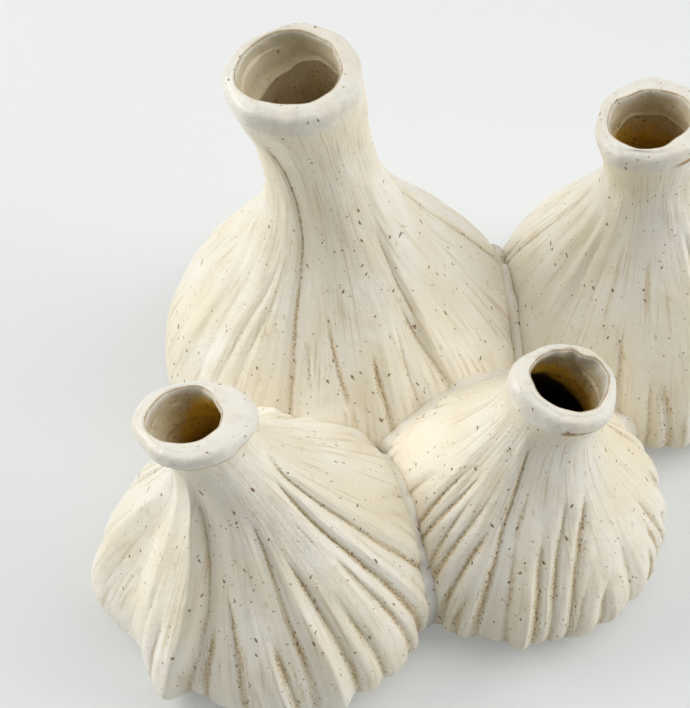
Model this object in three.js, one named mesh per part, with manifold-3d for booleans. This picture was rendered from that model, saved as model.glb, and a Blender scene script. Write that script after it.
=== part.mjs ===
// Cluster tulip vase in stoneware: four pleated garlic bulbs, each a bottle of its own,
// pressed together at their bellies and luted with slip. Every neck ends in a coiled lip.
// Millimetres, +Z up. The origin lies on the standing plane, under the middle of the cluster.

import * as THREE from 'three';
import { mergeVertices } from 'three/addons/utils/BufferGeometryUtils.js';
import Module from 'manifold-3d';

// Clay, shared by all four bulbs

const bodyWall = 4.2; // clay behind the deepest groove at the belly
const neckWall = 3;
const floorThickness = 7;
const floorCorner = 12; // inside radius where floor and wall meet
const footRingWidth = 11;
const footRecess = 1.2;
const pieceGap = 0.3; // between pieces that lie face to face
const cutOverrun = 6; // how far a cutting shape runs past what it cuts

// Pleats

const pleatDepthAtFoot = 2.4; // rib crown to the deepest groove
const grooveTopShare = 0.45; // where the faintest grooves start, of the way from belly to rim
const grooveFadeShare = 0.3; // over which a groove reaches its full depth, of the same way
const deepestShare = 1; // the depth share of the deepest groove

// Lips

const lipHeight = 7;
const lipInnerRound = 1.2;
const lipOuterRound = 2.2;
const lipUndercut = 1.5; // how far the lip's foot stays inside its bulge
const rimFlareHeight = 8; // over which the neck widens to carry its lip
const rimFlareShare = 0.4; // how far it widens, of the lip's overhang
const boreShiftShare = 0.6; // how far the bore follows a mouth that sits off its neck's middle

// Seams of slip between the bulbs

const slipThickness = 2.2; // between two flats
const stripWidth = 6.4; // across the crevice, where the slip shows
const stripRound = 1.2;
const seamLift = 1.6; // the slip ends this far above the standing plane
const coilSwell = 1.4; // how much further the rolled coil stands out of its crevice

// The bulbs. The foot's centre, the belly's radius and height, the height of the neck's top, the
// length of its straight part, how far its top leans from the foot's centre, and how the mouth sits
// in its lip. A rib is its width round the bulb and the depth of the groove at its start, both as
// shares, from the first groove on, counter-clockwise.

const bulbs = {
  rear_left: {
    footX: -42.7,
    footY: 46.4,
    footRadius: 52.5,
    bellyRadius: 70,
    bellyHeight: 18,
    flarePower: 1.04,
    neckTop: 154.5,
    neckLength: 36.5,
    neckRadius: 20.4,
    leanX: -19,
    leanY: -0.6,
    mouthTiltX: 0.05,
    mouthTiltY: -0.11,
    lipRadius: 24,
    mouthRadius: 17.2,
    mouthOffX: -1.4,
    mouthOffY: 1.2,
    pleatDepth: 3.2,
    twistDegrees: -5,
    firstGrooveDegrees: -178,
    ribShares: [
      [9, 0.4], [9, 0.5], [10, 0.6], [9, 0.4], [10, 0.6], [13, 0.5], [14, 0.9], [9, 0.6], [7, 0.8],
      [12, 0.5], [9, 0.7], [10, 0.5], [9, 0.6], [11, 0.9], [10, 0.6], [10, 0.7], [9, 0.5], [11, 0.9],
      [11, 0.5], [11, 0.7], [11, 0.5], [11, 0.8], [10, 0.5], [11, 0.7], [11, 0.9], [11, 0.5], [11, 0.7],
      [11, 0.5], [10, 0.9], [11, 0.5], [10, 0.7], [10, 0.5], [10, 0.8], [10, 0.5], [9, 0.6],
    ],
  },
  front_left: {
    footX: -69.8,
    footY: -59.5,
    footRadius: 46,
    bellyRadius: 61.6,
    bellyHeight: 16,
    flarePower: 0.91,
    neckTop: 104,
    neckLength: 9,
    neckRadius: 15.6,
    leanX: -24,
    leanY: -9.3,
    mouthTiltX: 0.1,
    mouthTiltY: 0.14,
    lipRadius: 20.1,
    mouthRadius: 13.3,
    mouthOffX: -3,
    mouthOffY: 0.8,
    pleatDepth: 4.4,
    twistDegrees: -8,
    firstGrooveDegrees: -180,
    ribShares: [
      [9, 0.5], [10, 0.45], [9, 0.5], [12, 1], [9, 0.5], [10, 0.4], [11, 0.9], [10, 0.6], [12, 0.8],
      [10, 0.6], [13, 0.9], [11, 1], [11, 0.6], [9, 0.55], [13, 1], [12, 1], [9, 0.6], [10, 0.5],
      [11, 0.4], [11, 0.5], [11, 0.4], [11, 0.7], [11, 0.5], [10, 0.9], [11, 0.5], [11, 0.8], [11, 0.6],
      [10, 1], [10, 0.5], [11, 0.8], [10, 0.6], [11, 1], [10, 0.5], [10, 0.7],
    ],
  },
  front_right: {
    footX: 16.7,
    footY: -33.5,
    footRadius: 42.5,
    bellyRadius: 57,
    bellyHeight: 15,
    flarePower: 1.03,
    neckTop: 85.5,
    neckLength: 2.5,
    neckRadius: 17,
    leanX: 13.9,
    leanY: -3,
    mouthTiltX: 0.1,
    mouthTiltY: -0.01,
    lipRadius: 19.6,
    mouthRadius: 13.5,
    mouthOffX: 1.2,
    mouthOffY: 0.8,
    pleatDepth: 4.2,
    twistDegrees: 6,
    firstGrooveDegrees: -174,
    ribShares: [
      [14, 0.4], [13, 0.6], [11, 0.8], [10, 0.8], [10, 0.6], [9, 1], [7, 0.9], [8, 0.5], [9, 0.5],
      [9, 0.8], [9, 0.7], [8, 0.6], [9, 0.5], [10, 0.8], [11, 0.5], [11, 0.7], [10, 0.5], [11, 0.9],
      [10, 0.5], [11, 0.7], [11, 0.5], [10, 1], [11, 0.5], [11, 0.8], [10, 0.5], [11, 0.9], [11, 0.5],
      [11, 0.7], [10, 0.5], [11, 1], [11, 0.6], [10, 0.8], [11, 0.5], [11, 0.7], [10, 0.5],
    ],
  },
  rear_right: {
    footX: 70.4,
    footY: 60.2,
    footRadius: 45.5,
    bellyRadius: 61,
    bellyHeight: 16,
    flarePower: 0.8,
    neckTop: 122,
    neckLength: 20,
    neckRadius: 17.6,
    leanX: -4,
    leanY: -4,
    mouthTiltX: -0.06,
    mouthTiltY: 0,
    lipRadius: 21,
    mouthRadius: 14.2,
    mouthOffX: -1,
    mouthOffY: -0.8,
    pleatDepth: 3.4,
    twistDegrees: 4,
    firstGrooveDegrees: -180,
    ribShares: [
      [10, 0.5], [10, 0.5], [10, 0.8], [14, 0.9], [8, 0.7], [10, 0.6], [11, 0.8], [10, 0.5], [11, 0.9],
      [10, 0.5], [11, 0.7], [10, 0.5], [11, 1], [11, 0.5], [10, 0.7], [11, 0.5], [11, 0.8], [10, 0.5],
      [11, 0.9], [10, 0.5], [11, 0.7], [11, 0.5], [10, 1], [11, 0.5], [10, 0.8], [11, 0.5], [11, 0.7],
      [10, 0.5], [11, 0.9], [10, 0.5], [11, 0.7], [11, 0.5], [11, 0.8], [11, 0.5],
    ],
  },
};

const leanPower = 2.3; // the neck bends away late, so the foot stands upright
const footPower = 2.8; // how late the belly turns in to the foot
const mouthTiltPower = 4; // how late the cross-sections turn to the mouth's tilt
const mouthPower = 8; // how late the hollow narrows to the mouth
const sectionCant = 0.35; // how far a cross-section turns with the leaning neck
const twistPivotShare = 0.35; // the height, as a share, at which the first groove has its angle

// Pairs of neighbours, in the order in which their seams are laid

const seams = [
  { name: 'seam_rear_left_front_right', between: ['rear_left', 'front_right'], swell: 0 },
  { name: 'seam_rear_left_front_left', between: ['rear_left', 'front_left'], swell: 0 },
  { name: 'seam_front_pair', between: ['front_left', 'front_right'], swell: 0 },
  { name: 'seam_rear_pair', between: ['rear_left', 'rear_right'], swell: coilSwell },
  { name: 'seam_right_pair', between: ['front_right', 'rear_right'], swell: 0 },
];

// How finely the surfaces are faceted

const footRows = 2;
const flareRows = 8;
const cavityColumns = 16;
const cavityFootRows = 3;
const cavityFlareRows = 5;
const lipColumns = 24;
const outlinePoints = 9; // up each side of a seam's outline
const searchSteps = 30; // halvings, where a height is searched for
const footSpacingPower = 1.5; // rows crowd where the foot turns in

// Materials

const glazedClay = new THREE.MeshStandardMaterial({ color: 0xe3dccd, roughness: 0.38, metalness: 0 });
const lipGlaze = new THREE.MeshStandardMaterial({ color: 0xe9e4da, roughness: 0.32, metalness: 0 });
const slipGlaze = new THREE.MeshStandardMaterial({ color: 0xd9d4cb, roughness: 0.4, metalness: 0 });

const wasm = await Module();
wasm.setup();

// Bulb form

function smoothRise(share) {
  const s = THREE.MathUtils.clamp(share, 0, 1);
  return s * s * (3 - 2 * s);
}

function flareTop(bulb) {
  return bulb.neckTop - bulb.neckLength;
}

// 1 at the belly, 0 where the straight neck begins
function flareShare(bulb, z) {
  const rise = THREE.MathUtils.clamp((z - bulb.bellyHeight) / (flareTop(bulb) - bulb.bellyHeight), 0, 1);
  return Math.pow((1 + Math.cos(Math.PI * rise)) / 2, bulb.flarePower);
}

// The radius of the rib crowns, without the rim that carries the lip
function girthRadius(bulb, z) {
  if (z >= bulb.bellyHeight) {
    return bulb.neckRadius + (bulb.bellyRadius - bulb.neckRadius) * flareShare(bulb, z);
  }
  const drop = (bulb.bellyHeight - z) / bulb.bellyHeight;
  return bulb.bellyRadius - (bulb.bellyRadius - bulb.footRadius) * Math.pow(drop, footPower);
}

function crownRadius(bulb, z) {
  const flare = Math.min(rimFlareHeight, bulb.neckLength);
  const widening = rimFlareShare * (bulb.lipRadius - bulb.neckRadius);
  return girthRadius(bulb, z) + widening * smoothRise((z - bulb.neckTop + flare) / flare);
}

// A groove is full at the belly, follows the girth up the flare and runs out below the rim: the
// deeper it is, the further up it starts
function grooveDepth(bulb, z, depthShare) {
  if (z < bulb.bellyHeight) {
    return depthShare * THREE.MathUtils.lerp(pleatDepthAtFoot, bulb.pleatDepth, z / bulb.bellyHeight);
  }
  const way = (z - bulb.bellyHeight) / (bulb.neckTop - bulb.bellyHeight);
  const top = THREE.MathUtils.lerp(grooveTopShare, 1, depthShare * depthShare);
  const girth = girthRadius(bulb, z) / bulb.bellyRadius;
  return depthShare * bulb.pleatDepth * girth * smoothRise((top - way) / grooveFadeShare);
}

// The hollow follows the outside at a wall's distance and ends in the width of the mouth
function cavityRadius(bulb, z) {
  const wall = THREE.MathUtils.lerp(neckWall, bodyWall, flareShare(bulb, z));
  const inside = girthRadius(bulb, z) - grooveDepth(bulb, z, deepestShare) - wall;
  return THREE.MathUtils.lerp(inside, bulb.mouthRadius, Math.pow(z / bulb.neckTop, mouthPower));
}

// The leaning centre line and the cross-section's own axes at a height
function section(bulb, z) {
  const share = Math.max(z, 0) / bulb.neckTop;
  const bend = Math.pow(share, leanPower);
  const slope = (leanPower * Math.pow(share, leanPower - 1) * sectionCant) / bulb.neckTop;
  const tilt = Math.pow(share, mouthTiltPower);
  const up = new THREE.Vector3(
    bulb.leanX * slope + bulb.mouthTiltX * tilt,
    bulb.leanY * slope + bulb.mouthTiltY * tilt,
    1,
  ).normalize();
  const across = new THREE.Vector3(1, 0, 0).addScaledVector(up, -up.x).normalize();
  const back = new THREE.Vector3().crossVectors(up, across);
  const centre = new THREE.Vector3(bulb.footX + bulb.leanX * bend, bulb.footY + bulb.leanY * bend, z);
  return { centre, across, back, up };
}

function onSection(frame, angle, radius) {
  return frame.centre
    .clone()
    .addScaledVector(frame.across, radius * Math.cos(angle))
    .addScaledVector(frame.back, radius * Math.sin(angle));
}

// The columns of facets round a bulb: one down each groove and one down the crown of each rib,
// with its angle at the foot and how deep its groove is
function pleatColumns(bulb) {
  const total = bulb.ribShares.reduce((sum, [width]) => sum + width, 0);
  const first = THREE.MathUtils.degToRad(bulb.firstGrooveDegrees);
  const columns = [];
  let passed = 0;
  for (const [width, depth] of bulb.ribShares) {
    columns.push({ angle: first + (2 * Math.PI * passed) / total, depth });
    columns.push({ angle: first + (2 * Math.PI * (passed + width / 2)) / total, depth: 0 });
    passed += width;
  }
  return columns;
}

function rowHeights(bulb, bottomRows, middleRows, bottom) {
  const flareEnd = flareTop(bulb);
  const rim = bulb.neckTop - Math.min(rimFlareHeight, bulb.neckLength);
  const heights = [];
  for (let i = 0; i < bottomRows; i += 1) {
    const share = Math.pow(i / bottomRows, footSpacingPower);
    heights.push(THREE.MathUtils.lerp(bottom, bulb.bellyHeight, share));
  }
  for (let i = 0; i < middleRows; i += 1) {
    heights.push(THREE.MathUtils.lerp(bulb.bellyHeight, flareEnd, i / middleRows));
  }
  if (rim > flareEnd) {
    heights.push(flareEnd);
  }
  heights.push(rim, bulb.neckTop);
  return heights;
}

// A closed skin through rings of points, with a fan over each end
function loftRings(rings) {
  const count = rings[0].length;
  const points = rings.flat();
  const faces = [];
  for (let r = 0; r + 1 < rings.length; r += 1) {
    for (let c = 0; c < count; c += 1) {
      const next = (c + 1) % count;
      const a = r * count + c;
      const b = r * count + next;
      faces.push(a, b, b + count, a, b + count, a + count);
    }
  }
  const middle = (ring) => ring.reduce((sum, p) => sum.add(p), new THREE.Vector3()).divideScalar(count);
  const bottom = points.push(middle(rings[0])) - 1;
  const top = points.push(middle(rings[rings.length - 1])) - 1;
  const lastRing = (rings.length - 1) * count;
  for (let c = 0; c < count; c += 1) {
    const next = (c + 1) % count;
    faces.push(bottom, next, c, top, lastRing + c, lastRing + next);
  }
  return geometryFrom(points, faces);
}

// A closed ring through sections of points, each section a loop
function loftLoop(sections) {
  const count = sections[0].length;
  const points = sections.flat();
  const faces = [];
  for (let s = 0; s < sections.length; s += 1) {
    const following = (s + 1) % sections.length;
    for (let c = 0; c < count; c += 1) {
      const next = (c + 1) % count;
      const a = s * count + c;
      const b = s * count + next;
      const d = following * count + c;
      const e = following * count + next;
      faces.push(a, e, d, a, b, e);
    }
  }
  return geometryFrom(points, faces);
}

function geometryFrom(points, faces) {
  const geometry = new THREE.BufferGeometry();
  geometry.setFromPoints(points);
  geometry.setIndex(faces);
  return geometry;
}

function solidFrom(geometry) {
  const bare = geometry.clone();
  bare.deleteAttribute('normal');
  bare.deleteAttribute('uv');
  const welded = mergeVertices(bare);
  const mesh = new wasm.Mesh({
    numProp: 3,
    vertProperties: new Float32Array(welded.attributes.position.array),
    triVerts: new Uint32Array(welded.index.array),
  });
  return new wasm.Manifold(mesh);
}

function geometryOf(solid) {
  const mesh = solid.getMesh();
  const geometry = new THREE.BufferGeometry();
  geometry.setAttribute('position', new THREE.BufferAttribute(mesh.vertProperties, 3));
  geometry.setIndex(new THREE.BufferAttribute(mesh.triVerts, 1));
  geometry.computeVertexNormals();
  return geometry;
}

// Cuts leave crumbs beside the body; the body is what a maker keeps
function largestBody(solid) {
  const bodies = solid.decompose();
  return bodies.reduce((best, body) => (body.volume() > best.volume() ? body : best));
}

// The pleated skin of a bulb, filled, and grown outwards by a clearance
function bulbSkin(bulb, growth) {
  const columns = pleatColumns(bulb);
  const heights = rowHeights(bulb, footRows, flareRows, 0);
  const slopeStep = bulb.bellyHeight / flareRows;
  const rings = heights.map((z, row) => {
    const frame = section(bulb, z);
    const slope = (crownRadius(bulb, z + slopeStep) - crownRadius(bulb, z)) / slopeStep;
    const outward = growth * Math.hypot(1, slope);
    const twist = THREE.MathUtils.degToRad(bulb.twistDegrees) * (z / bulb.neckTop - twistPivotShare);
    if (row === 0) {
      frame.centre.z -= growth;
    }
    return columns.map(({ angle, depth }) => {
      const radius = crownRadius(bulb, z) - grooveDepth(bulb, z, depth) + outward;
      return onSection(frame, angle + twist, radius);
    });
  });
  return solidFrom(loftRings(rings));
}

// The hollow of a bulb, from its floor through the neck and out over the rim
function bulbHollow(bulb) {
  const heights = rowHeights(bulb, cavityFootRows, cavityFlareRows, floorThickness);
  const rings = heights.map((z) => {
    const intoCorner = Math.max(0, 1 - (z - floorThickness) / floorCorner);
    const rounding = floorCorner * (1 - Math.sqrt(1 - intoCorner * intoCorner));
    const frame = section(bulb, z);
    shiftToMouth(bulb, frame, boreShiftShare * Math.pow(z / bulb.neckTop, mouthPower));
    return ringAround(frame, cavityRadius(bulb, z) - rounding, cavityColumns);
  });
  const rim = section(bulb, bulb.neckTop);
  shiftToMouth(bulb, rim, boreShiftShare);
  rim.centre.addScaledVector(rim.up, cutOverrun);
  rings.push(ringAround(rim, bulb.mouthRadius, cavityColumns));
  return solidFrom(loftRings(rings));
}

function shiftToMouth(bulb, frame, share) {
  frame.centre.addScaledVector(frame.across, share * bulb.mouthOffX);
  frame.centre.addScaledVector(frame.back, share * bulb.mouthOffY);
}

function ringAround(frame, radius, count) {
  const ring = [];
  for (let i = 0; i < count; i += 1) {
    ring.push(onSection(frame, (2 * Math.PI * i) / count, radius));
  }
  return ring;
}

// The shallow turned recess that leaves each bulb a foot ring
function footHollow(bulb) {
  const radius = bulb.footRadius - pleatDepthAtFoot - footRingWidth;
  const profile = [
    new THREE.Vector2(0, -cutOverrun),
    new THREE.Vector2(radius, -cutOverrun),
    new THREE.Vector2(radius, 0),
    new THREE.Vector2(radius - footRecess, footRecess),
    new THREE.Vector2(0, footRecess),
  ];
  const turned = new THREE.LatheGeometry(profile, cavityColumns);
  turned.rotateX(Math.PI / 2);
  turned.translate(bulb.footX, bulb.footY, 0);
  return solidFrom(turned);
}

// Where two neighbours meet

// The flat on which two bulbs are pressed together: it passes through the points of equal power
// of their cross-sections at the belly and at the saddle between the necks
function matingFlat(one, other) {
  const low = (one.bellyHeight + other.bellyHeight) / 2;
  const high = saddleHeight(one, other, low);
  const atLow = meetingPoint(one, other, low);
  const atHigh = meetingPoint(one, other, high);
  const climb = atHigh.place.clone().sub(atLow.place).dot(atLow.towards) / (high - low);
  const normal = atLow.towards.clone().setZ(-climb).normalize();
  return { normal, offset: normal.dot(atLow.place), origin: atLow.place };
}

function meetingPoint(one, other, z) {
  const from = section(one, z).centre;
  const to = section(other, z).centre;
  const reach = from.distanceTo(to);
  const towards = to.clone().sub(from).normalize();
  const powers = crownRadius(one, z) ** 2 - crownRadius(other, z) ** 2;
  const place = from.clone().addScaledVector(towards, (reach + powers / reach) / 2);
  return { place, towards, reach };
}

function saddleHeight(one, other, low) {
  let under = low;
  let over = Math.min(one.neckTop, other.neckTop);
  for (let i = 0; i < searchSteps; i += 1) {
    const z = (under + over) / 2;
    const apart = meetingPoint(one, other, z).reach - crownRadius(one, z) - crownRadius(other, z);
    if (apart > 0) {
      over = z;
    } else {
      under = z;
    }
  }
  return under;
}

const flats = new Map();
for (const seam of seams) {
  const [one, other] = seam.between;
  const flat = matingFlat(bulbs[one], bulbs[other]);
  seam.flat = flat;
  flats.set(one, [...(flats.get(one) ?? []), flat]);
  const turned = { normal: flat.normal.clone().negate(), offset: -flat.offset };
  flats.set(other, [...(flats.get(other) ?? []), turned]);
}

// Keeps what lies at least a distance on a bulb's own side of all its flats
function keepOwnSide(solid, name, distance) {
  return flats.get(name).reduce((kept, flat) => {
    const normal = flat.normal.clone().negate().toArray();
    return kept.trimByPlane(normal, distance - flat.offset);
  }, solid);
}

function makeBulb(name) {
  const bulb = bulbs[name];
  const toFlat = slipThickness / 2 + pieceGap;
  const skin = keepOwnSide(bulbSkin(bulb, 0), name, toFlat);
  const hollow = keepOwnSide(bulbHollow(bulb), name, toFlat + bodyWall);
  const foot = keepOwnSide(footHollow(bulb), name, toFlat + footRingWidth);
  return skin.subtract(hollow).subtract(foot);
}

// A coil of clay on the rim: flat on top, bulging past the neck, with the mouth set off its middle
function makeLip(bulb) {
  const rim = section(bulb, bulb.neckTop);
  rim.centre.addScaledVector(rim.up, pieceGap);
  const mouth = { ...rim, centre: rim.centre.clone() };
  shiftToMouth(bulb, mouth, 1);
  const sections = [];
  for (let i = 0; i < lipColumns; i += 1) {
    const angle = (2 * Math.PI * i) / lipColumns;
    const inner = onSection(mouth, angle, bulb.mouthRadius);
    const outer = onSection(rim, angle, bulb.lipRadius);
    const width = outer.distanceTo(inner);
    const outwards = outer.clone().sub(inner).normalize();
    const at = (across, height) => {
      return inner.clone().addScaledVector(outwards, across).addScaledVector(rim.up, height);
    };
    sections.push([
      at(0, 0),
      at(0, lipHeight - lipInnerRound),
      at(lipInnerRound, lipHeight),
      at(width - lipOuterRound, lipHeight),
      at(width, lipHeight - lipOuterRound),
      at(width, lipUndercut),
      at(width - lipUndercut, 0),
    ]);
  }
  return solidFrom(loftLoop(sections));
}

// A seam before the bulbs are cut out of it: a slab on the flat, wide enough to fill the crevice,
// in the outline of the bulbs at the crevice's edge
function seamBlank(seam, growth) {
  const [one, other] = seam.between.map((name) => bulbs[name]);
  const { normal, origin } = seam.flat;
  const along = new THREE.Vector3(0, 0, 1).cross(normal).normalize();
  const upFlat = new THREE.Vector3().crossVectors(normal, along);
  const halfWidth = stripWidth / 2 + growth;
  const edges = (z) => {
    const onFlat = origin.clone().addScaledVector(upFlat, (z - origin.z) / upFlat.z);
    const chords = [one, other].map((bulb) => {
      const offset = section(bulb, z).centre.sub(onFlat);
      const toStrip = Math.abs(offset.dot(normal)) - stripWidth / 2;
      const square = crownRadius(bulb, z) ** 2 - toStrip ** 2;
      return { middle: offset.dot(along), half: Math.sqrt(Math.max(square, 0)) };
    });
    return {
      middle: (chords[0].middle + chords[1].middle) / 2,
      half: (chords[0].half + chords[1].half) / 2,
      open: chords.every((chord) => chord.half > 0),
    };
  };
  const farEnds = [seamLift, Math.min(one.neckTop, other.neckTop)];
  const ends = farEnds.map((far) => outermost(edges, origin.z, far));
  const left = [];
  const right = [];
  for (let i = 0; i <= outlinePoints; i += 1) {
    const sweep = (1 - Math.cos((Math.PI * i) / outlinePoints)) / 2;
    const z = THREE.MathUtils.lerp(ends[0], ends[1], sweep);
    const { middle, half } = edges(z);
    const reach = half + growth + seam.swell;
    const height = (z - origin.z) / upFlat.z;
    left.push(new THREE.Vector2(middle - reach, height));
    right.push(new THREE.Vector2(middle + reach, height));
  }
  const outline = new THREE.Shape([...right, ...left.reverse()]);
  const blank = new THREE.ExtrudeGeometry(outline, {
    depth: 2 * (halfWidth - stripRound),
    bevelThickness: stripRound,
    bevelSize: stripRound,
    bevelOffset: -stripRound,
    bevelSegments: 1,
  });
  blank.translate(0, 0, stripRound - halfWidth);
  const placed = new THREE.Matrix4().makeBasis(along, upFlat, normal).setPosition(origin);
  blank.applyMatrix4(placed);
  return solidFrom(blank);
}

// The height, between one inside the overlap and one far outside, at which the overlap ends
function outermost(edges, inside, far) {
  if (edges(far).open) {
    return far;
  }
  let within = inside;
  let beyond = far;
  for (let i = 0; i < searchSteps; i += 1) {
    const z = (within + beyond) / 2;
    if (edges(z).open) {
      within = z;
    } else {
      beyond = z;
    }
  }
  return within;
}

// The vase

const vase = new THREE.Group();
vase.name = 'tulip_vase';

function addPiece(name, solid, material) {
  const piece = new THREE.Mesh(geometryOf(solid), material);
  piece.name = name;
  vase.add(piece);
}

for (const [name, bulb] of Object.entries(bulbs)) {
  addPiece(`bulb_${name}`, makeBulb(name), glazedClay);
  addPiece(`lip_${name}`, makeLip(bulb), lipGlaze);
}

const grownBulbs = Object.entries(bulbs).map(([name, bulb]) => {
  return keepOwnSide(bulbSkin(bulb, pieceGap), name, slipThickness / 2);
});
let laid = grownBulbs;
for (const seam of seams) {
  const solid = laid.reduce((rest, cutter) => rest.subtract(cutter), seamBlank(seam, 0));
  addPiece(seam.name, largestBody(solid), slipGlaze);
  laid = [...laid, seamBlank(seam, pieceGap)];
}

export default vase;
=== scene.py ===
"""Looks of the cluster tulip vase: four pleated garlic bulbs of glazed stoneware, luted with slip.

Every bulb starts as a smooth thrown blank. A Geometry Nodes tree presses the maker's fold lines
into it, one after another, and squares it off where its neighbours are pressed against it. Lips are
coils laid on the necks, and the seams of slip are drawn along the creases that the bulbs leave.
Sizes are millimetres in this file, and become metres where a mesh is made. A turn is an angle in
degrees round a bulb, seen from above and counted from +X, so -90 faces the camera.
"""

import logging
import math
from collections.abc import Callable
from dataclasses import dataclass
from enum import Enum
from typing import Any

import bpy
import numpy as np
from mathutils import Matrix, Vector
from mathutils.bvhtree import BVHTree

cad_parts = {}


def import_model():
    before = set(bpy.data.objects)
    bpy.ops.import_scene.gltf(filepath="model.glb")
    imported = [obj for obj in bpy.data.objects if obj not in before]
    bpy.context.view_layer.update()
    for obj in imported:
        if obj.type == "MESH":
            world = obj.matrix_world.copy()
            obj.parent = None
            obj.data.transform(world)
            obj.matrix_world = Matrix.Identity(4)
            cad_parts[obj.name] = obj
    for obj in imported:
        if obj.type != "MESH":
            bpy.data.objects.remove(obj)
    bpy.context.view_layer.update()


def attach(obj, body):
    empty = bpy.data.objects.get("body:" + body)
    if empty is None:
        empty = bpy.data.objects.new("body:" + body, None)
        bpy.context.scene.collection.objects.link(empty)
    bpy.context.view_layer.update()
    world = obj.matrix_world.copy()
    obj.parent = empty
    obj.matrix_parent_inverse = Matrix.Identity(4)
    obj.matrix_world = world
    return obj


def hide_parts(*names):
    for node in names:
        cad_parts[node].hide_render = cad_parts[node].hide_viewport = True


log = logging.getLogger("tulip_vase")

MM = 0.001
BODY = "root"


# Node trees

def operator(operation: str, reflected: bool = False) -> Callable[["Signal", "Number"], "Signal"]:
    """Makes an operator of Signal from a Math node's operation.

    Args:
        operation: The Math node's operation.
        reflected: Whether the other value comes first.

    Returns:
        The operator, as a method.
    """

    def method(self: "Signal", other: "Number") -> "Signal":
        """Returns the operation's result."""
        return self.graph.maths(operation, *((other, self) if reflected else (self, other)))

    return method


class Signal:
    """An output of a node, with Python's operators for its maths."""

    def __init__(self, graph: "Graph", socket: bpy.types.NodeSocket) -> None:
        """Keeps the socket and the graph that it belongs to.

        Args:
            graph: The graph that new nodes go to.
            socket: The output socket.
        """
        self.graph = graph
        self.socket = socket

    __add__ = operator("ADD")
    __radd__ = operator("ADD", reflected=True)
    __sub__ = operator("SUBTRACT")
    __rsub__ = operator("SUBTRACT", reflected=True)
    __mul__ = operator("MULTIPLY")
    __rmul__ = operator("MULTIPLY", reflected=True)
    __truediv__ = operator("DIVIDE")
    __pow__ = operator("POWER")
    __gt__ = operator("GREATER_THAN")
    larger = operator("MAXIMUM")

    def __abs__(self) -> "Signal":
        """Returns the size without the sign."""
        return self.graph.maths("ABSOLUTE", self)

    def exp(self) -> "Signal":
        """Returns e to the power of this."""
        return self.graph.maths("EXPONENT", self)

    def smaller_rounded(self, other: "Number", rounding: "Number") -> "Signal":
        """Returns the smaller of the two, rounded over where they are alike."""
        return self.graph.maths("SMOOTH_MIN", self, other, rounding)

    def rise(self, low: "Number", high: "Number") -> "Signal":
        """Returns a smooth rise from 0 at low to 1 at high.

        Args:
            low: Where the rise starts.
            high: Where it ends.

        Returns:
            The rise, held at 0 and 1 outside the range.
        """
        return self.graph.value(
            "ShaderNodeMapRange",
            {"interpolation_type": "SMOOTHSTEP"},
            {"Value": self, "From Min": low, "From Max": high},
        )


Number = Signal | float


class Graph:
    """A node tree under construction, for a material or for geometry."""

    def __init__(self, tree: bpy.types.NodeTree) -> None:
        """Keeps the tree and empties it.

        Args:
            tree: The node tree that nodes are added to.
        """
        self.tree = tree
        tree.nodes.clear()

    def node(
        self,
        kind: str,
        settings: dict[str, Any] | None = None,
        sockets: dict[str | int, Any] | None = None,
    ) -> bpy.types.Node:
        """Adds a node.

        Args:
            kind: The node's type.
            settings: Its properties, which are set first.
            sockets: Values or signals for its inputs, by name or by number.

        Returns:
            The new node.
        """
        node = self.tree.nodes.new(kind)
        for name, value in (settings or {}).items():
            setattr(node, name, value)
        for key, value in (sockets or {}).items():
            if isinstance(value, Signal):
                self.tree.links.new(value.socket, node.inputs[key])
            else:
                node.inputs[key].default_value = value
        return node

    def signal(self, node: bpy.types.Node, output: str | int = 0) -> Signal:
        """Returns a node's output as a signal."""
        return Signal(self, node.outputs[output])

    def value(
        self,
        kind: str,
        settings: dict[str, Any] | None = None,
        sockets: dict[str | int, Any] | None = None,
        output: str | int = 0,
    ) -> Signal:
        """Adds a node, as node does, and returns one of its outputs."""
        return self.signal(self.node(kind, settings, sockets), output)

    def maths(self, operation: str, *values: Number) -> Signal:
        """Adds a Math node.

        Args:
            operation: The Math node's operation.
            *values: Its inputs in order.

        Returns:
            Its result.
        """
        return self.value("ShaderNodeMath", {"operation": operation}, dict(enumerate(values)))

    def vector(self, operation: str, *values: Any, output: str | int = 0) -> Signal:
        """Adds a Vector Math node.

        Args:
            operation: The node's operation.
            *values: Its inputs in order.
            output: The output that is wanted.

        Returns:
            Its result.
        """
        sockets = dict(enumerate(values))
        return self.value("ShaderNodeVectorMath", {"operation": operation}, sockets, output)

    def scaled(self, vector: Signal, scale: Number) -> Signal:
        """Returns a vector times a number."""
        return self.value(
            "ShaderNodeVectorMath", {"operation": "SCALE"}, {"Vector": vector, "Scale": scale}
        )

    def noise(
        self, place: Signal, scale: float, detail: float = 2.0, seed: Number = 0.0
    ) -> Signal:
        """Adds a noise of a given fineness.

        Args:
            place: Where it is read.
            scale: Waves per metre.
            detail: Octaves of finer noise.
            seed: Which noise it is.

        Returns:
            Values round 0.5.
        """
        return self.value(
            "ShaderNodeTexNoise",
            {"noise_dimensions": "4D"},
            {"Vector": place, "Scale": scale, "Detail": detail, "W": seed},
        )

    def stretched(self, place: Signal, stretch: tuple[float, float, float]) -> Signal:
        """Returns a place multiplied axis by axis."""
        return self.vector("MULTIPLY", place, stretch)


# Clay forms

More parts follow.
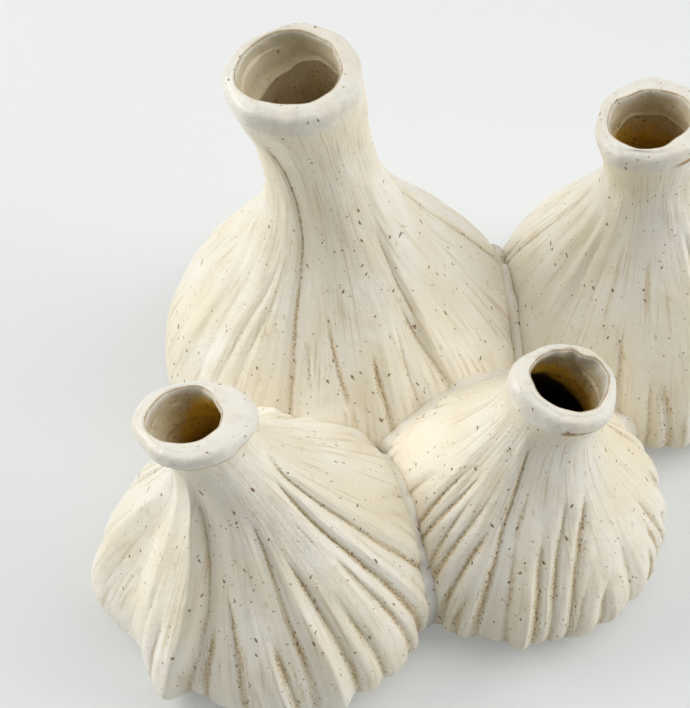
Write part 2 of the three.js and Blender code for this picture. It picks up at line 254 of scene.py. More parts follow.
LEAN_POWER = 2.3
FOOT_POWER = 2.8
TILT_POWER = 4.0
MOUTH_POWER = 8.0
SECTION_CANT = 0.35
BORE_SHIFT_SHARE = 0.6
BODY_WALL = 4.2
NECK_WALL = 3.0
FLOOR_THICKNESS = 7.0
FLOOR_CORNER = 12.0
FOOT_RING_WIDTH = 11.0
FOOT_RECESS = 1.2
SLIP_THICKNESS = 2.2
PIECE_GAP = 0.3
LIP_HEIGHT = 7.0
PLEAT_DEPTH_AT_FOOT = 2.4
HALVINGS = 30
FAR_REACH = 400.0
LEAST_CLIMB = 1e-4


def smooth_rise(share: np.ndarray) -> np.ndarray:
    """Returns a smooth rise from 0 to 1 for shares of the same range."""
    s = np.clip(share, 0.0, 1.0)
    return s * s * (3.0 - 2.0 * s)


@dataclass(frozen=True)
class Sections:
    """Cross-sections of a bulb, as one row for each height.

    Attributes:
        centre: Their centres.
        across: Their own X axes.
        back: Their own Y axes.
        up: Their normals.
    """

    centre: np.ndarray
    across: np.ndarray
    back: np.ndarray
    up: np.ndarray

    def outward(self, turns: np.ndarray) -> np.ndarray:
        """Returns the directions out of each section, by section and turn.

        Args:
            turns: Angles in radians.

        Returns:
            Unit vectors in an array of sections by turns by 3.
        """
        cosine = np.cos(turns)[None, :, None]
        sine = np.sin(turns)[None, :, None]
        return cosine * self.across[:, None] + sine * self.back[:, None]


@dataclass(frozen=True)
class BulbForm:
    """The smooth form of one bulb, in millimetres.

    Attributes:
        name: The bulb's name, as the frame has it behind bulb_.
        foot: The foot's centre on the table.
        foot_radius: The foot's radius.
        belly_radius: The widest radius.
        belly_height: The height of the widest radius.
        flare_power: How quickly the shoulder narrows to the neck.
        neck_top: The height at which the lip sits.
        neck_length: The straight part of the neck.
        neck_radius: The neck's radius.
        lean: How far the neck's top leans from the foot's centre.
        mouth_tilt: The slope of the mouth.
        lip_radius: The lip's outer radius.
        mouth_radius: The mouth's radius.
        mouth_off: How far the mouth is off the lip's middle.
        rim_height: The length over which the neck widens to the lip.
        rim_share: How much of the way to the lip's edge it widens.
    """

    name: str
    foot: tuple[float, float]
    foot_radius: float
    belly_radius: float
    belly_height: float
    flare_power: float
    neck_top: float
    neck_length: float
    neck_radius: float
    lean: tuple[float, float]
    mouth_tilt: tuple[float, float]
    lip_radius: float
    mouth_radius: float
    mouth_off: tuple[float, float]
    rim_height: float
    rim_share: float

    def flare_share(self, z: np.ndarray) -> np.ndarray:
        """Returns 1 at the belly, falling to 0 where the straight neck begins.

        Args:
            z: Heights.

        Returns:
            A share for each height.
        """
        top = self.neck_top - self.neck_length
        way = np.clip((z - self.belly_height) / (top - self.belly_height), 0.0, 1.0)
        return ((1.0 + np.cos(np.pi * way)) / 2.0) ** self.flare_power

    def girth(self, z: np.ndarray) -> np.ndarray:
        """Returns the radius of the rib crowns.

        Args:
            z: Heights.

        Returns:
            A radius for each height.
        """
        above = self.neck_radius + (self.belly_radius - self.neck_radius) * self.flare_share(z)
        drop = np.clip((self.belly_height - z) / self.belly_height, 0.0, 1.0)
        below = self.belly_radius - (self.belly_radius - self.foot_radius) * drop**FOOT_POWER
        return np.where(z >= self.belly_height, above, below)

    def crown(self, z: np.ndarray) -> np.ndarray:
        """Returns the girth with the rim that carries the lip.

        Args:
            z: Heights.

        Returns:
            A radius for each height.
        """
        widening = self.rim_share * (self.lip_radius - self.neck_radius)
        way = (z - self.neck_top + self.rim_height) / self.rim_height
        return self.girth(z) + widening * smooth_rise(way)

    def cavity(self, z: np.ndarray, deepest: float) -> np.ndarray:
        """Returns the radius of the hollow.

        Args:
            z: Heights.
            deepest: The depth of the deepest fold at the belly.

        Returns:
            A radius for each height.
        """
        share = self.flare_share(z)
        wall = NECK_WALL + (BODY_WALL - NECK_WALL) * share
        inside = self.girth(z) - deepest * share - wall
        blend = (z / self.neck_top) ** MOUTH_POWER
        into_corner = np.clip(1.0 - (z - FLOOR_THICKNESS) / FLOOR_CORNER, 0.0, 1.0)
        corner = FLOOR_CORNER * (1.0 - np.sqrt(1.0 - into_corner**2))
        return inside + (self.mouth_radius - inside) * blend - corner

    def sections(self, z: np.ndarray) -> Sections:
        """Lays out the leaning cross-sections.

        Args:
            z: Heights.

        Returns:
            One section for each height.
        """
        share = np.maximum(z, 0.0) / self.neck_top
        bend = share**LEAN_POWER
        slope = LEAN_POWER * share ** (LEAN_POWER - 1.0) * SECTION_CANT / self.neck_top
        tilt = share**TILT_POWER
        up = np.stack(
            [
                self.lean[0] * slope + self.mouth_tilt[0] * tilt,
                self.lean[1] * slope + self.mouth_tilt[1] * tilt,
                np.ones_like(share),
            ],
            axis=-1,
        )
        up /= np.linalg.norm(up, axis=-1, keepdims=True)
        across = np.array([1.0, 0.0, 0.0]) - up * up[..., :1]
        across /= np.linalg.norm(across, axis=-1, keepdims=True)
        centre = np.stack(
            [self.foot[0] + self.lean[0] * bend, self.foot[1] + self.lean[1] * bend, z], axis=-1
        )
        return Sections(centre, across, np.cross(up, across), up)

    def bore_shift(self, z: np.ndarray) -> np.ndarray:
        """Returns how far the hollow lies off the axis, as a share of the mouth's offset."""
        return BORE_SHIFT_SHARE * (z / self.neck_top) ** MOUTH_POWER

    def at(self, z: float) -> Sections:
        """Returns the single cross-section at a height."""
        return self.sections(np.array([z], float))


@dataclass(frozen=True)
class Flat:
    """The plane on which two bulbs are pressed together.

    Attributes:
        normal: From the first bulb to the second.
        offset: The plane's distance from the origin along its normal.
        origin: A point of it between the two bellies.
    """

    normal: np.ndarray
    offset: float
    origin: np.ndarray

    def turned(self) -> "Flat":
        """Returns the same plane as the second bulb sees it."""
        return Flat(-self.normal, -self.offset, self.origin)


def room_before(
    flats: list[Flat], clearance: float, origin: np.ndarray, outward: np.ndarray
) -> np.ndarray:
    """Finds how far each direction runs before it meets a flat.

    Args:
        flats: The flats.
        clearance: How far to stay from them.
        origin: Where the directions start.
        outward: Unit vectors.

    Returns:
        A length for each direction.
    """
    room = np.full(outward.shape[:-1], FAR_REACH)
    for flat in flats:
        climb = outward @ flat.normal
        length = (flat.offset - clearance - origin @ flat.normal) / np.maximum(climb, LEAST_CLIMB)
        room = np.where(climb > LEAST_CLIMB, np.minimum(room, length), room)
    return room


def mating_flat(one: BulbForm, other: BulbForm) -> Flat:
    """Finds the plane through the points of equal power of two bulbs' sections.

    Args:
        one: The first bulb.
        other: The second bulb.

    Returns:
        The plane, through such a point at the bellies and one at the saddle between the necks.
    """

    def meeting(z: float) -> tuple[np.ndarray, np.ndarray, float]:
        """Finds where the sections at a height meet.

        Args:
            z: The height.

        Returns:
            The place, the direction from one centre to the other, and the way between them.
        """
        start = one.at(z).centre[0]
        end = other.at(z).centre[0]
        reach = float(np.linalg.norm(end - start))
        towards = (end - start) / reach
        here = np.array([z])
        power = float(one.crown(here)[0] ** 2 - other.crown(here)[0] ** 2)
        return start + towards * (reach + power / reach) / 2.0, towards, reach

    low = (one.belly_height + other.belly_height) / 2.0
    under = low
    over = min(one.neck_top, other.neck_top)
    for _ in range(HALVINGS):
        z = (under + over) / 2.0
        here = np.array([z])
        if meeting(z)[2] > float(one.crown(here)[0] + other.crown(here)[0]):
            over = z
        else:
            under = z
    place, towards, _ = meeting(low)
    climb = float(np.dot(meeting(under)[0] - place, towards)) / (under - low)
    normal = np.array([towards[0], towards[1], -climb])
    normal /= np.linalg.norm(normal)
    return Flat(normal, float(np.dot(normal, place)), place)


# Pieces

class Slot(Enum):
    """The record's material slots."""

    GLAZED_CLAY = "glazed_clay"
    LIP_GLAZE = "lip_glaze"
    SLIP_GLAZE = "slip_glaze"


def hand_over(piece: bpy.types.Object, node: str) -> None:
    """Gives a finished piece its place in the frame, and reports it.

    Args:
        piece: The piece.
        node: The CAD node that it replaces.
    """
    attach(piece, BODY)
    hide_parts(node)
    log.info("%s: %d faces", node, len(piece.data.polygons))


def dress(piece: bpy.types.Object, glaze: bpy.types.Material) -> None:
    """Dresses a piece in a glaze, and shades it smooth.

    Args:
        piece: The piece.
        glaze: Its material.
    """
    piece.data.materials.append(glaze)
    piece.data.polygons.foreach_set("use_smooth", [True] * len(piece.data.polygons))
    piece.data.update()


def mesh_object(name: str, points: np.ndarray, edges: list, faces: list) -> bpy.types.Object:
    """Makes a linked mesh object from points in millimetres.

    Args:
        name: The object's name.
        points: Its points.
        edges: Its loose edges.
        faces: Its faces.

    Returns:
        The object, at the origin, with its place in its mesh.
    """
    mesh = bpy.data.meshes.new(name)
    mesh.from_pydata((np.asarray(points).reshape(-1, 3) * MM).tolist(), edges, faces)
    mesh.update()
    piece = bpy.data.objects.new(name, mesh)
    bpy.context.scene.collection.objects.link(piece)
    return piece


def ring_quads(pairs: list[tuple[int, int]], columns: int) -> list[list[int]]:
    """Joins rings of points with faces.

    Args:
        pairs: Numbers of rings to join, in the order that turns the faces outwards.
        columns: How many points a ring has.

    Returns:
        The faces.
    """
    column = np.arange(columns)
    following = (column + 1) % columns
    faces: list[list[int]] = []
    for one, other in pairs:
        here, there = one * columns, other * columns
        quads = [here + column, here + following, there + following, there + column]
        faces += np.stack(quads, axis=1).tolist()
    return faces


def fan(ring: int, columns: int, pole: int, turned: bool = False) -> list[list[int]]:
    """Closes a ring of points with triangles.

    Args:
        ring: The ring's number.
        columns: How many points a ring has.
        pole: The number of the point in its middle.
        turned: Whether the triangles face the other way.

    Returns:
        The faces.
    """
    start = ring * columns
    pairs = [(start + column, start + (column + 1) % columns) for column in range(columns)]
    return [[second, first, pole] if turned else [first, second, pole] for first, second in pairs]


def store(piece: bpy.types.Object, name: str, values: np.ndarray) -> None:
    """Stores a number or a vector for each point of a mesh.

    Args:
        piece: The mesh object.
        name: The attribute's name.
        values: One number, or one vector of 3, for each point.
    """
    flat = np.asarray(values, np.float32)
    kind, key = ("FLOAT", "value") if flat.ndim == 1 else ("FLOAT_VECTOR", "vector")
    attribute = piece.data.attributes.new(name, kind, "POINT")
    attribute.data.foreach_set(key, flat.ravel())


def drop(piece: bpy.types.Object) -> None:
    """Deletes a helper object and its mesh.

    Args:
        piece: The helper.
    """
    mesh = piece.data
    bpy.data.objects.remove(piece)
    bpy.data.meshes.remove(mesh)


class Rows:
    """Rows of points round a ring, with the marks by which a glaze knows them."""

    def __init__(self, columns: int, names: tuple[str, ...]) -> None:
        """Starts without a row.

        Args:
            columns: How many points a row has.
            names: The marks' names.
        """
        self.columns = columns
        self.points: list[np.ndarray] = []
        self.marks: dict[str, list[np.ndarray]] = {name: [] for name in names}

    def add(self, points: np.ndarray, **values: float | np.ndarray) -> None:
        """Adds a row.

        Args:
            points: Its points.
            **values: How much of each mark they have, by name, and 0 of those left out.
        """
        self.points.append(points)
        for name, kept in self.marks.items():
            value = np.asarray(values.get(name, 0.0), float)
            kept.append(np.broadcast_to(value, (self.columns,)))

    def mark(self, name: str) -> np.ndarray:
        """Returns how much of a mark each point has."""
        return np.concatenate(self.marks[name])


def skin_of(piece: bpy.types.Object) -> BVHTree:
    """Returns a finished piece's skin in millimetres, for rays to meet."""
    mesh = piece.data
    return BVHTree.FromPolygons(
        [vertex.co / MM for vertex in mesh.vertices],
        [tuple(polygon.vertices) for polygon in mesh.polygons],
    )


# Fold lines

@dataclass(frozen=True)
class Fold:
    """A line that the maker pressed, or with a negative depth drew up, in a bulb's side.

    Attributes:
        points: Turn in degrees and height, from the top down.
        depth: How deep the line lies at the belly.
        left: How far it reaches towards smaller turns, at the belly.
        right: How far it reaches towards larger turns, at the belly.
        stain: How much tan glaze pools in it, and how strongly the painted shade along its bottom and
            the painted highlight beside it show, from 0 to 1.
        fade: The length over which it runs out at its top.
    """

    points: tuple[tuple[float, float], ...]
    depth: float
    left: float = 3.0
    right: float = 3.0
    stain: float = 0.3
    fade: float = 16.0


DRUM_STEP = 2.0
FOLD_REACH = 1.6
FOLD_CRISP = 3.2
POOL_WIDTH = 3.0
CREASE_WIDTH = 1.3
STRONG_SHARE = 0.45
STRONG_REACH = (0.62, 0.86)
WEAK_REACH = (0.36, 0.6)
STRONG_DEPTH = (3.0, 4.4)
WEAK_DEPTH = (1.6, 2.8)
HIDDEN_SLANT = (-5.0, 5.0)
HIDDEN_BEND = (-2.0, 2.0)
HIDDEN_WIDTH = (2.4, 4.0)
HIDDEN_STAIN = (0.3, 0.9)
HIDDEN_SPACING = (7.5, 12.5)


def drum(radius: float, turns: np.ndarray, z: np.ndarray) -> np.ndarray:
    """Returns points on an upright drum, on which turns and heights are laid out."""
    return np.stack([radius * np.cos(turns), radius * np.sin(turns), z], axis=-1)


def spline(way: np.ndarray, values: np.ndarray, places: np.ndarray) -> np.ndarray:
    """Runs a smooth curve through values.

    Args:
        way: The length along the curve at each value.
        values: The values to pass through.
        places: The lengths at which the curve is wanted.

    Returns:
        The curve there.
    """
    if len(values) < 3:
        return np.interp(places, way, values)
    slopes = np.gradient(values, way)
    span = np.clip(np.searchsorted(way, places, side="right") - 1, 0, len(way) - 2)
    width = way[span + 1] - way[span]
    t = (places - way[span]) / width
    a, b = values[span], values[span + 1]
    ta, tb = slopes[span] * width, slopes[span + 1] * width
    return (
        a * (2 * t**3 - 3 * t**2 + 1)
        + ta * (t**3 - 2 * t**2 + t)
        + b * (-2 * t**3 + 3 * t**2)
        + tb * (t**3 - t**2)
    )


def hidden_folds(seed: int, start: float, end: float, top: float) -> list[Fold]:
    """Draws folds round the side that the photo doesn't show, spaced as on the side that it does.

    Args:
        seed: Which folds they are.
        start: The first turn.
        end: The last turn.
        top: The neck's height.

    Returns:
        The folds.
    """
    chance = np.random.default_rng(seed)
    folds = []
    turn = start
    while turn < end:
        strong = chance.random() < STRONG_SHARE
        height = top * chance.uniform(*(STRONG_REACH if strong else WEAK_REACH))
        slant = chance.uniform(*HIDDEN_SLANT)
        depth = chance.uniform(*(STRONG_DEPTH if strong else WEAK_DEPTH))
        bend = chance.uniform(*HIDDEN_BEND)
        folds.append(
            Fold(
                (
                    (turn + slant, height),
                    (turn + slant * 0.5 + bend, height * 0.6),
                    (turn, height * 0.3),
                    (turn - bend * 0.5, 0.0),
                ),
                depth,
                chance.uniform(*HIDDEN_WIDTH),
                chance.uniform(*HIDDEN_WIDTH),
                chance.uniform(*HIDDEN_STAIN),
            )
        )
        turn += chance.uniform(*HIDDEN_SPACING)
    return folds


# The tree that presses the folds

PRESS_INPUTS = {
    "NodeSocketGeometry": ("Blank",),
    "NodeSocketObject": ("Fold Lines", "Fold Table"),
    "NodeSocketInt": ("Folds",),
    "NodeSocketFloat": ("Sharpness", "Wobble", "Scrape", "Seed", "Rounding"),
    "NodeSocketMaterial": ("Material",),
}
WOBBLE_WAVES = 38.0
SCRAPE_WAVES = 300.0
SCRAPE_STRETCH = (1.0, 1.0, 0.1)
SOFT_SHARE = 0.6


class FoldPress:
    """Geometry Nodes that press fold lines into a blank, and square it off at its flats."""

    def __init__(self, name: str) -> None:
        """Builds the tree.

        Args:
            name: The tree's name.
        """
        self.tree = bpy.data.node_groups.new(name, "GeometryNodeTree")
        self.keys: dict[str, str] = {}
        self.graph = Graph(self.tree)
        for kind, labels in PRESS_INPUTS.items():
            for label in labels:
                item = self.tree.interface.new_socket(label, in_out="INPUT", socket_type=kind)
                self.keys[label] = item.identifier
        self.tree.interface.new_socket("Bulb", in_out="OUTPUT", socket_type="NodeSocketGeometry")
        self.inputs = self.tree.nodes.new("NodeGroupInput")
        self.build()

    def given(self, label: str) -> Signal:
        """Returns one of the tree's inputs."""
        return self.graph.signal(self.inputs, label)

    def stored(self, name: str, kind: str = "FLOAT") -> Signal:
        """Returns a named attribute as a field."""
        return self.graph.value(
            "GeometryNodeInputNamedAttribute", {"data_type": kind}, {"Name": name}
        )

    def object_geometry(self, label: str) -> Signal:
        """Returns the geometry of an object given as an input."""
        found = {"Object": self.given(label)}
        return self.graph.value("GeometryNodeObjectInfo", {}, found, "Geometry")

    def keep(self, geometry: Signal, name: str, value: Signal) -> Signal:
        """Stores a number for each point, and returns the geometry."""
        return self.graph.value(
            "GeometryNodeStoreNamedAttribute",
            {"data_type": "FLOAT", "domain": "POINT"},
            {"Geometry": geometry, "Name": name, "Value": value},
        )

    def build(self) -> None:
        """Lays out the tree: a loop over the folds, then the squaring off and the finish."""
        graph = self.graph
        begin = self.tree.nodes.new("GeometryNodeRepeatInput")
        end = self.tree.nodes.new("GeometryNodeRepeatOutput")
        begin.pair_with_output(end)
        self.tree.links.new(self.given("Folds").socket, begin.inputs["Iterations"])
        self.tree.links.new(self.given("Blank").socket, begin.inputs["Geometry"])
        pressed = self.press_one(graph.signal(begin, "Geometry"), graph.signal(begin, "Iteration"))
        self.tree.links.new(pressed.socket, end.inputs["Geometry"])
        shaped = self.square_off(graph.signal(end, "Geometry"))
        for kind, more in (
            ("GeometryNodeSetShadeSmooth", {}),
            ("GeometryNodeRealizeInstances", {}),
            ("GeometryNodeSetMaterial", {"Material": self.given("Material")}),
        ):
            shaped = graph.value(kind, {}, {"Geometry": shaped, **more})
        output = self.tree.nodes.new("NodeGroupOutput")
        self.tree.links.new(shaped.socket, output.inputs[0])

    def press_one(self, geometry: Signal, index: Signal) -> Signal:
        """Adds the fold with a given number to what has been pressed so far.

        Args:
            geometry: The blank, with the folds before this one.
            index: The fold's number.

        Returns:
            The blank with this fold added to its attributes: how deep the folds are, how much
            glaze they hold, how far beside the nearest one each point is, and how close to it.
        """
        graph = self.graph
        table = self.object_geometry("Fold Table")

        def listed(name: str) -> Signal:
            """Returns this fold's number in the table."""
            return graph.value(
                "GeometryNodeSampleIndex",
                {"data_type": "FLOAT", "domain": "POINT"},
                {"Geometry": table, "Value": self.stored(name), "Index": index},
            )

        place = self.stored("drum", "FLOAT_VECTOR")
        nearest = graph.node(
            "GeometryNodeProximity",
            {"target_element": "EDGES"},
            {0: self.object_geometry("Fold Lines"), 1: self.stored("line", "INT"), 2: place, 3: index},
        )
        foot = graph.signal(nearest, "Position")
        distance = graph.signal(nearest, "Distance")
        sideways = graph.vector("CROSS_PRODUCT", (0.0, 0.0, 1.0), place)
        away = graph.vector("SUBTRACT", place, foot)
        beside = graph.vector("DOT_PRODUCT", away, sideways, output="Value") > 0.0
        left = listed("left")
        width = left + (listed("right") - left) * beside
        height = graph.value("ShaderNodeSeparateXYZ", {}, {0: foot}, "Z")
        taper = (listed("top") - height).rise(0.0, listed("fade"))
        soft = (width - FOLD_CRISP * MM).larger(0.0) * SOFT_SHARE
        reached = (distance * distance + soft * soft) ** 0.5 - soft
        slope = (1.0 - reached / (width * FOLD_REACH)).larger(0.0)
        fold = self.stored("fold") + listed("depth") * slope ** self.given("Sharpness") * taper
        strength = listed("stain")

        def band(width: float) -> Signal:
            """Returns 1 on the line, falling off over a width in millimetres."""
            return (((distance / (width * MM)) ** 2.0) * -1.0).exp() * taper

        stain = self.stored("stain").larger(strength * band(POOL_WIDTH))
        # The thin band along the line that is coloured brown: partly a stain of dark glaze, partly
        # painted shade in the groove.
        close = self.stored("close").larger((strength > 0.0) * band(CREASE_WIDTH))
        near = self.stored("near")
        closer = abs(near) > distance + (1.0 - (strength > 0.0))
        nearer = near + (distance * (beside * 2.0 - 1.0) - near) * closer
        lined = self.keep(self.keep(geometry, "stain", stain), "near", nearer)
        return self.keep(self.keep(lined, "close", close), "fold", fold)

    def square_off(self, geometry: Signal) -> Signal:
        """Moves the outer skin to its pressed place.

        Args:
            geometry: The blank with its fold attribute.

        Returns:
            The shaped bulb.
        """
        graph = self.graph
        deepest = self.stored("deepest")
        fold = self.stored("fold") * self.stored("give")
        depth = deepest * (1.0 - ((fold / deepest) * -1.0).exp())
        place = self.stored("drum", "FLOAT_VECTOR")
        seed = self.given("Seed")
        waves = graph.noise(place, WOBBLE_WAVES, 1.0, seed)
        scraped = graph.noise(graph.stretched(place, SCRAPE_STRETCH), SCRAPE_WAVES, 2.0, seed)
        uneven = (waves - 0.5) * self.given("Wobble") + (scraped - 0.5) * self.given("Scrape")
        radius = self.stored("radius") - depth + uneven * self.stored("give")
        pressed = radius.smaller_rounded(self.stored("reach"), self.given("Rounding"))
        moved = graph.vector(
            "ADD",
            self.stored("centre", "FLOAT_VECTOR"),
            graph.scaled(self.stored("outward", "FLOAT_VECTOR"), pressed),
        )
        return graph.value(
            "GeometryNodeSetPosition",
            {},
            {"Geometry": geometry, "Selection": self.stored("outer") > 0.5, "Position": moved},
        )

    def apply(self, blank: bpy.types.Object, values: dict[str, Any]) -> None:
        """Runs the tree on a blank and keeps the result as its mesh.

        Args:
            blank: The blank.
            values: The tree's inputs by label.
        """
        modifier = blank.modifiers.new("fold_press", "NODES")
        modifier.node_group = self.tree
        for label, value in values.items():
            modifier[self.keys[label]] = value
        bpy.context.view_layer.update()
        graph = bpy.context.evaluated_depsgraph_get()
        made = bpy.data.meshes.new_from_object(blank.evaluated_get(graph))
        old = blank.data
        blank.modifiers.remove(modifier)
        blank.data = made
        bpy.data.meshes.remove(old)
        made.name = blank.name


# Bulbs

OUTER_COLUMNS = 440
OUTER_ROWS = 176
INNER_ROWS = 18
DEEPEST_FOLD = 9.0
THINNEST_CLAY = 1.2
NO_FOLD_NEAR = 60.0
FLAT_ROUNDING = 3.0
FOLD_SHARPNESS = 1.5
WOBBLE = 2.6
SCRAPE = 0.65
GIVE_POWER = 0.5
RIM_GIVE_LENGTH = 7.0
FOOT_EDGE = 0.8
POLE_TONE = 3.0
SIDE_STEPS = 4000
LEAST_GIVE = 0.5


@dataclass(frozen=True)
class Hollow:
    """How the colour changes down inside a mouth: amber where its glaze pools, then near black with
    painted shade.

    Attributes:
        amber: The depth at which it is amber, on the side where it lies highest.
        dark: The depth at which the painted shade is full there.
        turn: That side, in degrees.
        lean: How much deeper both lie on the other side, as a share.
    """

    amber: float
    dark: float
    turn: float
    lean: float

    def tone(self, depth: np.ndarray, turns: np.ndarray) -> np.ndarray:
        """Returns the glaze's tone.

        Args:
            depth: Depths under the lip's top.
            turns: Angles in radians.

        Returns:
            0 at the lip's top, 1 where the glaze is amber and 2 where the painted shade is full.
        """
        share = depth / (1.0 + self.lean * (1.0 - np.cos(turns - np.radians(self.turn))) / 2.0)
        deep = 1.0 + (share - self.amber) / (self.dark - self.amber)
        return np.where(share < self.amber, share / self.amber, deep)


@dataclass
class Bulb:
    """One pleated bulb: a hollow bottle with its foot, belly, shoulder and leaning neck.

    Attributes:
        form: Its smooth form.
        flats: The planes on which its neighbours are pressed against it.
        folds: The fold lines in its side.
        hollow: How its inside turns amber down its glaze, and near black with painted shade deeper.
        seed: Which unevenness it has.
    """

    form: BulbForm
    flats: list[Flat]
    folds: tuple[Fold, ...]
    hollow: Hollow
    seed: int

    def __post_init__(self) -> None:
        """Lays out the columns, and the outer rows evenly spaced along the side."""
        form = self.form
        self.turns = np.linspace(-np.pi, np.pi, OUTER_COLUMNS, endpoint=False)
        fine = np.linspace(0.0, form.neck_top, SIDE_STEPS)
        steps = np.hypot(np.diff(fine), np.diff(form.crown(fine)))
        length = np.concatenate([[0.0], np.cumsum(steps)])
        self.heights = np.interp(np.linspace(0.0, length[-1], OUTER_ROWS), length, fine)
        self.clearance = SLIP_THICKNESS / 2.0 + PIECE_GAP

    def row_points(
        self, sections: Sections, radius: np.ndarray, clearance: float
    ) -> tuple[np.ndarray, np.ndarray]:
        """Places rows of points round sections, on this side of the flats.

        Args:
            sections: The sections.
            radius: One radius for each section, or for each section and turn.
            clearance: How far the points stay from the flats.

        Returns:
            The points, and how far each direction runs before it meets a flat.
        """
        out = sections.outward(self.turns)
        reach = room_before(self.flats, clearance, sections.centre[:, None], out)
        length = np.minimum(radius.reshape(len(out), -1), reach)
        return sections.centre[:, None] + out * length[..., None], reach

    def blank(self) -> bpy.types.Object:
        """Makes the smooth closed blank, with the numbers that the press reads.

        Returns:
            The blank as an object.
        """
        form = self.form
        outer = form.sections(self.heights)
        radius = np.repeat(form.crown(self.heights)[:, None], OUTER_COLUMNS, axis=1)
        radius[0] -= FOOT_EDGE
        skin, reach = self.row_points(outer, radius, self.clearance)
        low = np.linspace(form.neck_top, FLOOR_THICKNESS, INNER_ROWS)
        inner = form.sections(low)
        wall_clearance = self.clearance + BODY_WALL
        inside = self.row_points(inner, form.cavity(low, DEEPEST_FOLD), wall_clearance)[0]
        shift = form.bore_shift(low)[:, None]
        inside += (inner.across * shift * form.mouth_off[0])[:, None]
        inside += (inner.back * shift * form.mouth_off[1])[:, None]
        points = [skin, inside]
        ring = form.foot_radius - FOOT_RING_WIDTH - PLEAT_DEPTH_AT_FOOT
        chamfer = 1.0 - FOOT_RECESS / ring
        for share, z in ((1.0, 0.0), (chamfer, FOOT_RECESS), (0.6, FOOT_RECESS), (0.25, FOOT_RECESS)):
            width = np.array([ring * share])
            under = self.row_points(form.at(0.0), width, self.clearance + FOOT_RING_WIDTH)[0]
            points.append(under + np.array([0.0, 0.0, z]))
        grid = np.concatenate(points)
        rows = len(grid)
        foot = OUTER_ROWS + INNER_ROWS
        pairs = [(row, row + 1) for row in range(foot - 1)] + [(foot, 0)]
        pairs += [(row + 1, row) for row in range(foot, rows - 1)]
        pole = rows * OUTER_COLUMNS
        faces = ring_quads(pairs, OUTER_COLUMNS)
        faces += fan(foot - 1, OUTER_COLUMNS, pole)
        faces += fan(rows - 1, OUTER_COLUMNS, pole + 1, turned=True)
        poles = [form.at(FLOOR_THICKNESS).centre[0], [*form.foot, FOOT_RECESS]]
        all_points = np.vstack([grid.reshape(-1, 3), poles])
        piece = mesh_object(f"bulb_{form.name}_pleated", all_points, [], faces)
        self.describe_skin(piece, outer, radius, reach)
        self.describe_glaze(piece)
        return piece

    def describe_skin(
        self, piece: bpy.types.Object, outer: Sections, radius: np.ndarray, reach: np.ndarray
    ) -> None:
        """Stores what the press reads: each outer point's place in the bulb.

        Args:
            piece: The blank.
            outer: The outer rows' sections.
            radius: The blank's radius by row and turn.
            reach: How far each direction runs before it meets a flat.
        """
        form, high = self.form, self.heights
        skin = OUTER_ROWS * OUTER_COLUMNS
        total = len(piece.data.vertices)
        girth = form.girth(high) / form.belly_radius
        rim = smooth_rise((form.neck_top - high) / RIM_GIVE_LENGTH)
        clay = form.crown(high) - form.cavity(high, DEEPEST_FOLD) - THINNEST_CLAY
        laid_out = drum(form.belly_radius, *np.broadcast_arrays(self.turns, high[:, None]))
        for name, values, scale, rest in (
            ("outer", np.ones((OUTER_ROWS, 1)), 1.0, 0.0),
            ("radius", radius, MM, 0.0),
            ("reach", reach, MM, 0.0),
            ("give", (girth**GIVE_POWER * rim)[:, None], 1.0, 0.0),
            ("deepest", np.clip(clay, LEAST_GIVE, DEEPEST_FOLD)[:, None], MM, 1.0),
            ("centre", outer.centre[:, None], MM, 0.0),
            ("outward", outer.outward(self.turns), 1.0, 0.0),
            ("drum", laid_out, MM, 0.0),
        ):
            shape = (OUTER_ROWS, OUTER_COLUMNS, *values.shape[2:])
            kept = np.full((total, *values.shape[2:]), rest)
            kept[:skin] = np.broadcast_to(values, shape).reshape(skin, *values.shape[2:])
            store(piece, name, kept * scale)
        for name in ("fold", "stain", "close"):
            store(piece, name, np.zeros(total))
        store(piece, "near", np.full(total, NO_FOLD_NEAR * MM))

    def describe_glaze(self, piece: bpy.types.Object) -> None:
        """Stores what the glaze reads inside the hollow and under the foot.

        Args:
            piece: The blank.
        """
        first = OUTER_ROWS * OUTER_COLUMNS
        last = first + INNER_ROWS * OUTER_COLUMNS
        tone, within, bare = np.zeros((3, len(piece.data.vertices)))
        depth = np.linspace(0.0, self.form.neck_top - FLOOR_THICKNESS, INNER_ROWS) + LIP_HEIGHT
        tone[first:last] = self.hollow.tone(depth[:, None], self.turns).ravel()
        # The floor of the hollow gets the full painted shade.
        tone[-2] = POLE_TONE
        within[first:last] = within[-2] = 1.0
        bare[last:-2] = bare[-1] = bare[:OUTER_COLUMNS] = 1.0
        for name, values in (("tone", tone), ("within", within), ("bare", bare)):
            store(piece, name, values)

